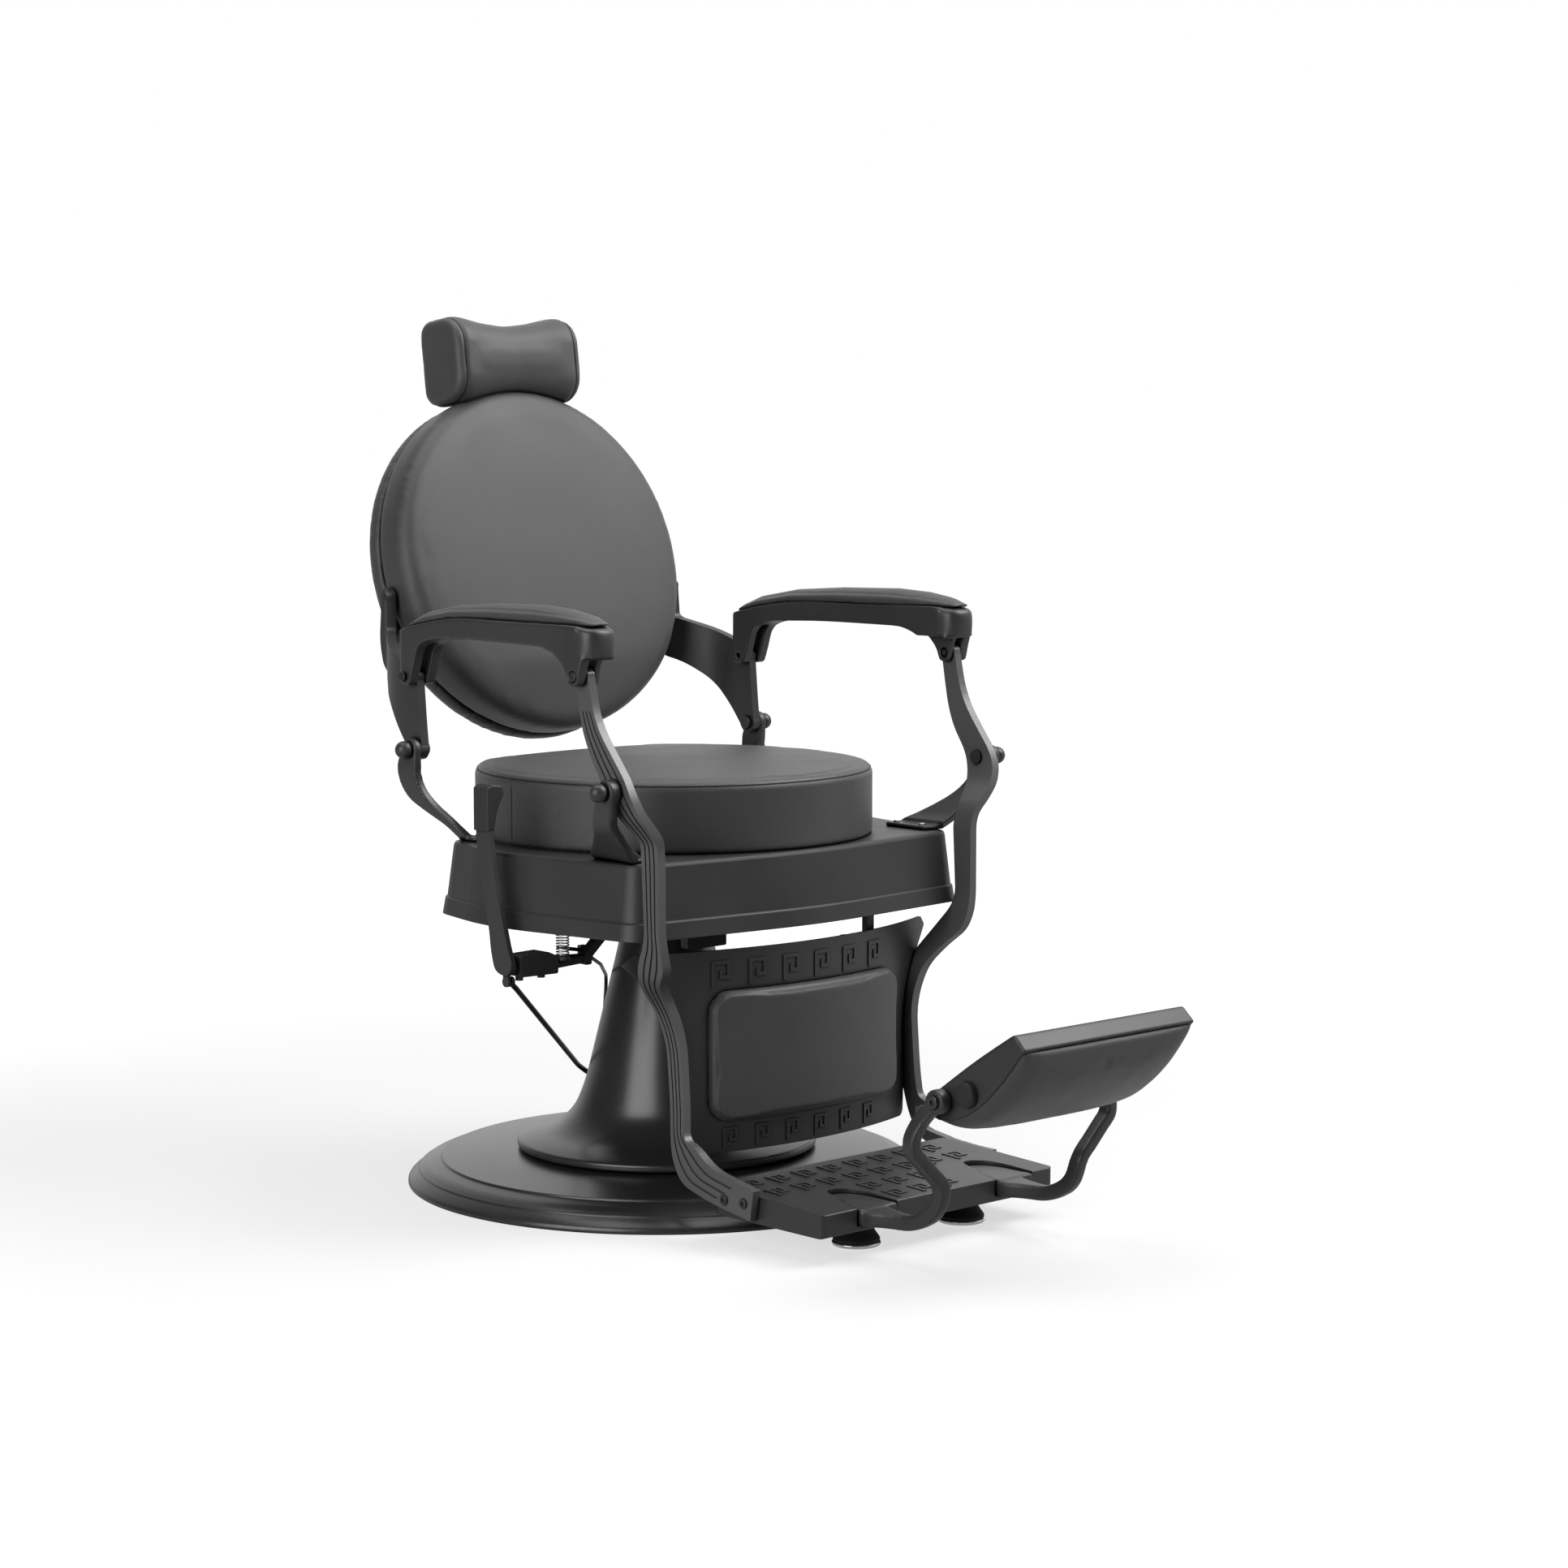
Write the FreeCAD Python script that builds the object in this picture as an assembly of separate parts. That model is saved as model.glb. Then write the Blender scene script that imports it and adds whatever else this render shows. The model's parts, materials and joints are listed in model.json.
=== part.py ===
import FreeCAD, Part
import math
import os

# Hydraulic barber chair, in millimetres.
# The origin is on the floor, on the axis of the column. Z is up and the sitter faces -Y.
# The sitter's right hand is at -X. What comes in pairs is built at +X and mirrored.

Vector = FreeCAD.Vector
AXIS_X = Vector(1, 0, 0)
AXIS_Y = Vector(0, 1, 0)
AXIS_Z = Vector(0, 0, 1)
CENTRE = Vector(0, 0, 0)

# Clearances
RUN_FIT = 0.05          # radial play of a part that turns or slides on another
SOFT_GAP = 0.4          # upholstery to a neighbour on another body
FACE_GAP = 0.5          # two flat faces that move past each other

# Base
BASE_RADIUS = 345.0
BASE_LINE_RADIUS = 300.0
BASE_DOME_HEIGHT = 45.0
BASE_LINE_HEIGHT = 34.0
BASE_WALL = 6.0
PLATE_THICKNESS = 4.0
PLATE_RADIUS = BASE_RADIUS - 14.0
POST_RADIUS = 30.0
POST_FLANGE_RADIUS = 62.0
POST_FLANGE_TOP = 14.0
POST_TOP = 58.0
BEARING_RADIUS = 52.0
BEARING_HEIGHT = 8.0

# Bell and ram
FLANGE_RADIUS = 199.5
FLANGE_BOTTOM = 46.5
FLANGE_TOP = 56.0
BELL_TOP = 364.0
BELL_NECK_RADIUS = 64.3
BELL_NECK_HEIGHT = 312.0
BELL_FOOT_RADIUS = 123.0
BELL_FOOT_HEIGHT = 95.0
BELL_WALL = 5.0
FOOT_RADIUS = 150.0
FOOT_BOTTOM = 58.0
FOOT_THICKNESS = 9.0
FOOT_HUB_RADIUS = 48.0
FOOT_HUB_TOP = 78.0
SLOT_WIDTH = 20.0
SLOT_BOTTOM = 84.0
SLOT_TOP = 265.0
BUSH_WALL = 7.0
BUSH_LENGTH = 34.0
COLUMN_RADIUS = 42.0
COLUMN_WALL = 6.0
COLUMN_BOTTOM = 110.0
COLUMN_TOP = 372.0
GLAND_THICKNESS = 24.0
RAM_RADIUS = 14.0
PISTON_BOTTOM = 268.0
PISTON_TOP = 306.0
PUMP_AXIS_HEIGHT = 97.0
PUMP_BLOCK_RADIUS = 32.0
PUMP_BOSS_RADIUS = 12.0
PUMP_BOSS_END = 60.0
PLUNGER_RADIUS = 6.0
PLUNGER_START = 36.0
PLUNGER_END = 80.0

# Seat frame and cushion
TRAY_BOTTOM = 373.0
TRAY_CREASE = 394.0
TRAY_TOP = 467.0
TRAY_WALL = 6.0
TRAY_FLARE = 12.0
TRAY_STEP = 2.0
TRAY_EDGE_ROUND = 5.0
TRAY_FRONT_CORNER = (272.0, -259.0)
TRAY_FRONT_BOW = -292.0
TRAY_SIDE_BOW = (316.0, -35.0)
TRAY_REAR_CORNER = (281.0, 101.0)
TRAY_REAR_BOW = 250.0
TRAY_CORNER_ROUND = 24.0
TRAY_OPENING_RADIUS = 205.0
BEAM_PLACE = 75.0
BEAM_WIDTH = 56.0
FRONT_BEAM_HALF_LENGTH = 278.0
REAR_BEAM_HALF_LENGTH = 250.0
MOUNT_PLATE_HALF = 110.0
MOUNT_PLATE_THICKNESS = 8.0
SEAT_CENTRE_Y = -17.0
SEAT_RADIUS = 260.5
SEAT_SEAM_HEIGHT = 556.0
SEAT_CROWN = 8.0
SEAT_REAR_FLAT = 198.0
SEAT_SHOULDER = 9.0
BOARD_THICKNESS = 8.0

# Pivots, as (y, z)
REAR_PIVOT = (152.4, 583.1)
FRONT_PIVOT = (-274.7, 562.7)
ARM_REAR_PIVOT = (155.0, 678.0)
ARM_FRONT_PIVOT = (-217.0, 699.0)
PIVOT_PIN_RADIUS = 6.0
PIVOT_NUT_RADIUS = 9.0
ARM_PIN_RADIUS = 4.0
REAR_BALL_X = 316.0
FRONT_BALL_X = 346.0
BALL_RADIUS = 11.5
PIVOT_BOSS_RADIUS = 15.0

# Castings beside the seat, as distances from the middle plane
CASTING_THICKNESS = 12.0
BACK_BRACKET_OUTER = 297.0
REAR_BOSS_OUTER = 309.0
STRUT_UPPER_OUTER = 323.0
STRUT_PIVOT_OUTER = 320.5
STRUT_MIDDLE_OUTER = 277.0
STRUT_LOWER_OUTER = 207.5
STRUT_FOOT_OUTER = 214.5
STRUT_THICKNESS = 11.5
STRUT_EYE_RADIUS = 12.0
FRONT_BOSS_OUTER = 338.0
FLUTE_DEPTH = 1.2

# Backrest, built upright about its centre and then leaned back
BACK_CENTRE = (288.9, 808.3)
BACK_TILT = 15.0
BACK_RADIUS = 235.5
BACK_SHELL_DEPTH = 46.0
BACK_SEAM_OFFSET = -16.0
BACK_PAD_DEPTH = 61.0
BACK_PAD_ROUND = 18.0
BACK_CROWN = 7.0

# Headrest
HEAD_CENTRE = (341.0, 1086.5)
HEAD_TILT = 7.0
HEAD_HALF_LENGTH = 105.0
HEAD_END_HEIGHT = 112.0
HEAD_END_DEPTH = 84.0
HEAD_WAIST_HEIGHT = 91.0
HEAD_WAIST_DEPTH = 70.0
HEAD_POST_RADIUS = 8.0
HEAD_POST_LENGTH = 190.0
HEAD_SOCKET_LENGTH = 120.0

# Armrests
ARM_UNDERSIDE = 730.0
ARM_TOP = 760.0
ARM_NOSE_Y = -250.0
ARM_HEEL_Y = 176.0
ARM_CHEEK_GAP = 0.8

# Leg panel and footplate
PANEL_RADIUS = 580.0
PANEL_FRONT_Y = -285.0
PANEL_THICKNESS = 5.0
PANEL_BOTTOM = 93.0
PANEL_TOP = 350.0
KEY_RELIEF = 1.4
CALF_HALF_WIDTH = 160.0
CALF_BOTTOM = 134.0
CALF_TOP = 298.0
CALF_BULGE = 16.0
FOOTPLATE_HALF_WIDTH = 203.0
FOOTPLATE_FRONT = -514.5
FOOTPLATE_REAR = -318.0
FOOTPLATE_BOTTOM = 34.0
FOOTPLATE_TOP = 63.0
FOOTPLATE_RISE = 9.0
POCKET_STARTS = (-144.7, 96.0)
POCKET_GAP = 2.5
POCKET_FLOOR = 41.0
POCKET_TOP = 62.0
ARM_ROOT_CENTRE = 119.0
ARM_ROOT_WIDTH = 42.0
GLIDE_X = 92.2
GLIDE_Y = -459.4
GLIDE_LIFT = 1.5
GLIDE_RING_RADIUS = 31.0
GLIDE_RING_HEIGHT = 6.0

# Footrest
REST_PIVOT = (-666.0, 218.0)
REST_HUB_RADIUS = 15.0
REST_HUB_INNER = 152.0
REST_HUB_OUTER = 168.0
REST_PIN_RADIUS = 4.5
REST_ANGLE = 32.4
REST_HALF_WIDTH = 148.5
REST_PIVOT_ALONG = 23.0
REST_PIVOT_BELOW = 17.0
REST_SHEET = 3.0
REST_STOP = (61.0, 27.0)
REST_STOP_RADIUS = 15.0
REST_ARM_DEPTH = 19.0
REST_ARM_WIDTH = 16.0

# Hand lever, at -X
LEVER_AXIS = (-90.0, 328.0)
LEVER_OUTER = -347.0
LEVER_BLADE = 7.0
HUB_START = -331.0
HUB_END = -271.0
SLEEVE_END = -222.0
HANGER_WIDTH = 12.0
LEVER_SHAFT_RADIUS = 3.5
LEVER_PIN = (-90.0, 311.0)
LEVER_PIN_RADIUS = 2.5
LEVER_PIN_PLAY = 0.9
GRIP_TOP = 556.0
SPRING_PLACE = (-260.0, -100.0)
SPRING_RADIUS = 8.0
SPRING_WIRE = 0.9
SPRING_TURNS = 12
SPRING_SEAT = 336.0
ROD_RADIUS = 3.5
THIN_ROD_RADIUS = 2.5

# Recline lock, at +X
LOCK_X = 100.0
LOCK_RISE = 8.8
LOCK_EYE = (-248.0, 322.0)
LOCK_RADIUS = 10.0
LOCK_ROD_RADIUS = 5.0
LOCK_LENGTH = 200.0
LOCK_REAR_Y = 70.0
LOCK_PIN_RADIUS = 4.0
LOCK_SLOT_REACH = 5.0
LOCK_SLOT_TURN = -1.0
LOCK_ROD_REAR = -288.0
LOCK_EYE_HALF = 5.6


def vec(x, y, z):
    """A point or direction."""
    return Vector(x, y, z)


def corner_arc(before, corner, after, radius):
    """Start, middle and end of the arc that rounds a corner; radius None takes the largest neat one."""
    into = corner - before
    out = after - corner
    reach = 0.46 * min(into.Length, out.Length)
    into.normalize()
    out.normalize()
    turn = math.acos(max(-1.0, min(1.0, into.dot(out))))
    if turn < 0.002:
        return None
    half = math.tan(turn / 2)
    if radius is not None:
        reach = min(reach, radius * half)
    start = corner - into * reach
    end = corner + out * reach
    bisector = (out - into).normalize()
    real_radius = reach / half
    middle = corner + bisector * (real_radius / math.cos(turn / 2) - real_radius)
    return start, middle, end


def rounded_wire(points, radii, closed=True):
    """Straight runs joined by tangent arcs through 3-D corner points."""
    count = len(points)
    corners = []
    for i, point in enumerate(points):
        inner = closed or 0 < i < count - 1
        arc = None
        if inner and radii[i] != 0:
            arc = corner_arc(points[i - 1], point, points[(i + 1) % count], radii[i])
        corners.append(arc if arc else (point, None, point))
    edges = []
    for i in range(count):
        start, middle, end = corners[i]
        if middle is not None:
            edges.append(Part.Arc(start, middle, end).toShape())
        if i == count - 1 and not closed:
            break
        following = corners[(i + 1) % count][0]
        if (following - end).Length > 1e-6:
            edges.append(Part.LineSegment(end, following).toShape())
    return Part.Wire(edges)


def place_on(plane, a, b, level):
    """A point of the plane across X (a, b = y, z), across Y (x, z) or across Z (x, y)."""
    if plane == "x":
        return vec(level, a, b)
    if plane == "y":
        return vec(a, level, b)
    return vec(a, b, level)


def outline(plane, points, level):
    """Closed wire through (a, b) or (a, b, radius) corners; a corner with no radius is rounded fully."""
    corners = [place_on(plane, p[0], p[1], level) for p in points]
    radii = [p[2] if len(p) > 2 else None for p in points]
    return rounded_wire(corners, radii)


def prism(plane, points, low, high):
    """Solid between two levels along the plane's axis."""
    along = {"x": AXIS_X, "y": AXIS_Y, "z": AXIS_Z}[plane]
    face = Part.Face(outline(plane, points, low))
    return face.extrude(along * (high - low))


def box(x, y, z):
    """Box between pairs of levels."""
    return Part.makeBox(x[1] - x[0], y[1] - y[0], z[1] - z[0], vec(x[0], y[0], z[0]))


def rod_x(radius, low, high, at):
    """Round bar along X at (y, z)."""
    return Part.makeCylinder(radius, high - low, vec(low, at[0], at[1]), AXIS_X)


def rod_y(radius, low, high, at):
    """Round bar along Y at (x, z)."""
    return Part.makeCylinder(radius, high - low, vec(at[0], low, at[1]), AXIS_Y)


def rod_z(radius, low, high, at=(0.0, 0.0)):
    """Round bar along Z at (x, y)."""
    return Part.makeCylinder(radius, high - low, vec(at[0], at[1], low), AXIS_Z)


def mirrored(shape):
    """The same piece on the other side of the middle plane."""
    return shape.mirror(CENTRE, AXIS_X)


def turned(points):
    """Solid of revolution about Z from (radius, height) or (radius, height, rounding) corners."""
    face = Part.Face(outline("y", points, 0.0))
    return face.revolve(CENTRE, AXIS_Z, 360)


def join(shapes):
    """One solid from several, with the seams between coplanar faces removed."""
    first = shapes[0]
    return first.fuse(shapes[1:]).removeSplitter()


def strip(stations, low, high):
    """Outline between two fractions of the way from each station's first edge to its second."""
    front = []
    rear = []
    for y0, z0, y1, z1 in stations:
        front.append((y0 + (y1 - y0) * low, z0 + (z1 - z0) * low))
        rear.append((y0 + (y1 - y0) * high, z0 + (z1 - z0) * high))
    return with_square_ends(front, rear)


def with_square_ends(front, rear):
    """Closed outline from two edges, its four end corners left sharp."""
    first = [(front[0][0], front[0][1], 0)] + front[1:-1] + [(front[-1][0], front[-1][1], 0)]
    second = [(rear[-1][0], rear[-1][1], 0)] + rear[-2:0:-1] + [(rear[0][0], rear[0][1], 0)]
    return first + second


def band(outer, thickness):
    """Closed outline of a bent sheet from its outer line and its thickness, towards the left of travel."""
    normals = []
    for (a0, b0), (a1, b1) in zip(outer, outer[1:]):
        length = math.hypot(a1 - a0, b1 - b0)
        normals.append((-(b1 - b0) / length, (a1 - a0) / length))
    inner = []
    for i, (a, b) in enumerate(outer):
        first = normals[max(i - 1, 0)]
        second = normals[min(i, len(normals) - 1)]
        mitre = 1 + first[0] * second[0] + first[1] * second[1]
        inner.append((a + thickness * (first[0] + second[0]) / mitre,
                      b + thickness * (first[1] + second[1]) / mitre))
    return with_square_ends(list(outer), inner)


def soften(shape, radius, keep=None):
    """Rounds the edges that the test keeps, or all of them."""
    edges = [edge for edge in shape.Edges if keep is None or keep(edge)]
    return shape.makeFillet(radius, edges)


def on_level(plane, levels):
    """Test for edges that lie wholly on one of the levels of an axis."""
    index = {"x": 0, "y": 1, "z": 2}[plane]

    def test(edge):
        box_of = edge.BoundBox
        low = (box_of.XMin, box_of.YMin, box_of.ZMin)[index]
        high = (box_of.XMax, box_of.YMax, box_of.ZMax)[index]
        return any(abs(low - level) < 1e-4 and abs(high - level) < 1e-4 for level in levels)

    return test


def pipe(points, radius, radii=None):
    """Round rod along straight runs joined by tangent arcs."""
    route = [vec(*point) for point in points]
    path = rounded_wire(route, radii or [None] * len(route), closed=False)
    direction = route[1] - route[0]
    circle = Part.Wire(Part.makeCircle(radius, route[0], direction))
    return path.makePipeShell([circle], True, False)


def arc_at(start, corner, end):
    """Arc tangent to two equal runs that meet at a corner."""
    into = (corner - start).normalize()
    out = (end - corner).normalize()
    turn = math.acos(max(-1.0, min(1.0, into.dot(out))))
    radius = (corner - start).Length / math.tan(turn / 2)
    middle = corner + (out - into).normalize() * (radius / math.cos(turn / 2) - radius)
    return Part.Arc(start, middle, end).toShape()


def arc_chain(points, directions):
    """Smooth wire of arc pairs through points with a direction at each."""
    edges = []
    for i in range(len(points) - 1):
        start, end = points[i], points[i + 1]
        first, last = directions[i], directions[i + 1]
        chord = end - start
        total = first + last
        square = 2 * first.dot(last) - 2
        linear = -2 * chord.dot(total)
        reach = (-linear - math.sqrt(linear * linear - 4 * square * chord.dot(chord))) / (2 * square)
        near = start + first * reach
        far = end - last * reach
        middle = (near + far) * 0.5
        edges.append(arc_at(start, near, middle))
        edges.append(arc_at(middle, far, end))
    return Part.Wire(edges)


# Base

def base_disc():
    """Low domed disc, hollow beneath, with a stepped and grooved rim."""
    rim = BASE_RADIUS
    line = BASE_LINE_RADIUS
    top = BASE_DOME_HEIGHT
    step = BASE_LINE_HEIGHT
    hole = POST_FLANGE_RADIUS + 6
    outer = [(hole, top, 0), (FLANGE_RADIUS + 6, top - 1.0), (line, step + 0.5, 1), (line + 1.5, step - 2.5, 1),
             (line + 20, step - 7.5), (line + 30, step - 14, 1), (line + 31, step - 16, 1),
             (rim - 6, step - 22), (rim, step - 28), (rim, 0, 1)]
    inner = [(PLATE_RADIUS + 0.1, 0, 0), (PLATE_RADIUS + 0.1, PLATE_THICKNESS, 0),
             (PLATE_RADIUS - 6, PLATE_THICKNESS, 0), (line, step - BASE_WALL - 3, 8),
             (hole, top - BASE_WALL, 0)]
    return turned(outer + inner)


def base_plate():
    """Flat plate that closes the underside of the base."""
    return rod_z(PLATE_RADIUS, 0, PLATE_THICKNESS)


def swivel_post():
    """Flanged post on which the bell turns."""
    points = [(0, PLATE_THICKNESS, 0), (POST_FLANGE_RADIUS, PLATE_THICKNESS, 0),
              (POST_FLANGE_RADIUS, POST_FLANGE_TOP, 2), (POST_RADIUS, POST_FLANGE_TOP, 0),
              (POST_RADIUS, POST_TOP, 2), (0, POST_TOP, 0)]
    return turned(points)


def swivel_bearing():
    """Thrust ring between the post's flange and the bell's foot."""
    ring = rod_z(BEARING_RADIUS, POST_FLANGE_TOP, POST_FLANGE_TOP + BEARING_HEIGHT)
    return ring.cut(rod_z(POST_RADIUS + 0.5, 0, POST_TOP))


# Bell, which turns with the seat

def bell_line():
    """Outer corners of the bell from its head down to its flange."""
    slope = (BELL_FOOT_RADIUS - 15 - BELL_NECK_RADIUS) / (BELL_FOOT_HEIGHT + 38 - BELL_NECK_HEIGHT)
    head = BELL_NECK_RADIUS + slope * (BELL_TOP - 8 - BELL_NECK_HEIGHT)
    return [(head, BELL_TOP, 3), (BELL_NECK_RADIUS, BELL_NECK_HEIGHT), (BELL_FOOT_RADIUS - 15, BELL_FOOT_HEIGHT + 38),
            (BELL_FOOT_RADIUS, BELL_FOOT_HEIGHT), (BELL_FOOT_RADIUS + 25, FLANGE_TOP + 15),
            (FLANGE_RADIUS - 14, FLANGE_TOP + 5), (FLANGE_RADIUS, FLANGE_TOP, 5),
            (FLANGE_RADIUS, FLANGE_BOTTOM, 3)]


def bell_cover():
    """Bell-shaped cover with its flange, bored for the bush, with a slot at the rear for the rod."""
    bush_outer = COLUMN_RADIUS + RUN_FIT + BUSH_WALL
    head = bell_line()[0][0]
    outer = bell_line()
    inner = [(FOOT_RADIUS, FLANGE_BOTTOM, 0), (FOOT_RADIUS, FOOT_BOTTOM + FOOT_THICKNESS, 0),
             (FOOT_RADIUS - 8, FOOT_BOTTOM + FOOT_THICKNESS, 0)]
    for radius, height in ((BELL_FOOT_RADIUS, BELL_FOOT_HEIGHT + 2), (BELL_FOOT_RADIUS - 15, BELL_FOOT_HEIGHT + 38),
                           (BELL_NECK_RADIUS, BELL_NECK_HEIGHT)):
        inner.append((radius - BELL_WALL, height))
    inner.append((bush_outer, BELL_TOP - BUSH_LENGTH, 0))
    inner.append((bush_outer, BELL_TOP, 0))
    bell = turned([(head, BELL_TOP, 3)] + outer[1:] + inner)
    slot = soft_slot(SLOT_WIDTH / 2, SLOT_BOTTOM, SLOT_TOP, 0, FLANGE_RADIUS)
    return bell.cut(slot)


def soft_slot(half, low, high, near, far):
    """Upright slot along Y with round ends."""
    points = [(-half, low, half), (half, low, half), (half, high, half), (-half, high, half)]
    return prism("y", points, near, far)


def bell_foot():
    """Foot plate inside the bell, with the hub that turns on the post and holds the ram."""
    bearing_top = POST_FLANGE_TOP + BEARING_HEIGHT
    bore = POST_RADIUS + RUN_FIT
    points = [(bore, bearing_top, 0), (FOOT_HUB_RADIUS, bearing_top, 0), (FOOT_HUB_RADIUS, FOOT_BOTTOM, 4),
              (FOOT_RADIUS, FOOT_BOTTOM, 0), (FOOT_RADIUS, FOOT_BOTTOM + FOOT_THICKNESS, 0),
              (FOOT_HUB_RADIUS, FOOT_BOTTOM + FOOT_THICKNESS, 4), (FOOT_HUB_RADIUS, FOOT_HUB_TOP, 1),
              (RAM_RADIUS, FOOT_HUB_TOP, 0), (RAM_RADIUS, POST_TOP + 4, 0), (0, POST_TOP + 4, 0),
              (0, POST_TOP + 0.5, 0), (bore, POST_TOP + 0.5, 0)]
    return turned(points)


def column_bush():
    """Guide bush in the head of the bell."""
    inner = COLUMN_RADIUS + RUN_FIT
    bush = rod_z(inner + BUSH_WALL, BELL_TOP - BUSH_LENGTH, BELL_TOP)
    return bush.cut(rod_z(inner, 0, COLUMN_TOP))


def hydraulic_ram():
    """Ram that stands on the bell's foot, with its piston."""
    bore = COLUMN_RADIUS - COLUMN_WALL
    piston = bore - RUN_FIT
    points = [(0, POST_TOP + 4, 0), (RAM_RADIUS, POST_TOP + 4, 0), (RAM_RADIUS, PISTON_BOTTOM, 0),
              (piston, PISTON_BOTTOM, 1), (piston, PISTON_TOP, 1), (0, PISTON_TOP, 0)]
    return turned(points)


# Lift column and seat frame

def lift_column():
    """Cylinder tube that rises with the seat, closed by a cap at its head."""
    bore = COLUMN_RADIUS - COLUMN_WALL
    tube = rod_z(COLUMN_RADIUS, COLUMN_BOTTOM, COLUMN_TOP)
    return tube.cut(rod_z(bore, COLUMN_BOTTOM, COLUMN_TOP - MOUNT_PLATE_THICKNESS))


def column_gland():
    """Gland that closes the foot of the column round the ram."""
    bore = COLUMN_RADIUS - COLUMN_WALL
    plug = rod_z(bore, COLUMN_BOTTOM, COLUMN_BOTTOM + GLAND_THICKNESS)
    return plug.cut(rod_z(RAM_RADIUS + RUN_FIT, 0, COLUMN_TOP))


def pump_block():
    """Pump head under the gland, with the bore of the plunger."""
    low = PUMP_AXIS_HEIGHT - PUMP_BOSS_RADIUS
    head = rod_z(PUMP_BLOCK_RADIUS, low, COLUMN_BOTTOM)
    boss = rod_y(PUMP_BOSS_RADIUS, 0, PUMP_BOSS_END, (0, PUMP_AXIS_HEIGHT))
    block = join([head, boss])
    ram_way = rod_z(RAM_RADIUS + 1.5, 0, COLUMN_BOTTOM)
    plunger_way = rod_y(PLUNGER_RADIUS + RUN_FIT, PLUNGER_START - 12, PUMP_BOSS_END, (0, PUMP_AXIS_HEIGHT))
    return block.cut([ram_way, plunger_way, release_rod()])


def mount_plate():
    """Plate on the column's head."""
    half = MOUNT_PLATE_HALF
    square = [(-half, -half, 20), (half, -half, 20), (half, half, 20), (-half, half, 20)]
    plate = prism("z", square, COLUMN_TOP, COLUMN_TOP + MOUNT_PLATE_THICKNESS)
    return plate


def cross_beams():
    """Two channels under the tray's top, which carry it on the mount plate."""
    low = COLUMN_TOP + MOUNT_PLATE_THICKNESS
    high = TRAY_TOP - TRAY_WALL
    beams = []
    for side, half in ((-1, FRONT_BEAM_HALF_LENGTH), (1, REAR_BEAM_HALF_LENGTH)):
        middle = side * BEAM_PLACE
        section = [(middle - BEAM_WIDTH / 2, low, 4), (middle + BEAM_WIDTH / 2, low, 4),
                   (middle + BEAM_WIDTH / 2, high, 0), (middle + BEAM_WIDTH / 2 - TRAY_WALL, high, 0),
                   (middle + BEAM_WIDTH / 2 - TRAY_WALL, low + TRAY_WALL, 2),
                   (middle - BEAM_WIDTH / 2 + TRAY_WALL, low + TRAY_WALL, 2),
                   (middle - BEAM_WIDTH / 2 + TRAY_WALL, high, 0), (middle - BEAM_WIDTH / 2, high, 0)]
        beams.append(prism("x", section, -half, half))
    return Part.makeCompound(beams)


def seat_subframe():
    """Welded frame on the column: plate, two channels and the lug of the recline lock."""
    return join([mount_plate()] + cross_beams().Solids + [lock_lug()])


def tray_outline(grow, height):
    """Barrel-sided outline of the seat tray, grown outwards, at one height."""
    side_x, side_y = TRAY_SIDE_BOW
    front_x, front_y = TRAY_FRONT_CORNER
    rear_x, rear_y = TRAY_REAR_CORNER
    half = [(0, TRAY_FRONT_BOW - grow, 700), (front_x + grow, front_y - grow, TRAY_CORNER_ROUND + grow),
            (side_x + grow, side_y, 500), (rear_x + grow, rear_y + grow, TRAY_CORNER_ROUND + 20 + grow),
            (0, TRAY_REAR_BOW + grow, 420)]
    other = [(-x, y, r) for x, y, r in half[3:0:-1]]
    return outline("z", half + other, height)


def seat_tray():
    """Skirted tray: flared skirt with a crease, rounded top edge and a flat top with a round opening."""
    top_inner = TRAY_TOP - TRAY_WALL
    levels = [(TRAY_FLARE, TRAY_BOTTOM), (TRAY_FLARE - 3, TRAY_CREASE), (TRAY_FLARE - 3 - TRAY_STEP, TRAY_CREASE + 1.5),
              (0, TRAY_TOP - TRAY_EDGE_ROUND), (-TRAY_EDGE_ROUND * 0.3, TRAY_TOP - TRAY_EDGE_ROUND * 0.3),
              (-TRAY_EDGE_ROUND, TRAY_TOP)]
    outside = Part.makeLoft([tray_outline(grow, height) for grow, height in levels], True, True)
    inside = Part.makeLoft([tray_outline(TRAY_FLARE - 3 - TRAY_STEP - TRAY_WALL, TRAY_BOTTOM - 1),
                            tray_outline(-TRAY_WALL, top_inner)], True, True)
    opening = rod_z(TRAY_OPENING_RADIUS, top_inner - 1, TRAY_TOP + 1, (0, SEAT_CENTRE_Y))
    return outside.cut([inside, opening])


def seat_board():
    """Board in the tray's opening that carries the cushion."""
    board = rod_z(TRAY_OPENING_RADIUS, TRAY_TOP - BOARD_THICKNESS, TRAY_TOP, (0, SEAT_CENTRE_Y))
    return board.cut(cross_beams())


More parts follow.
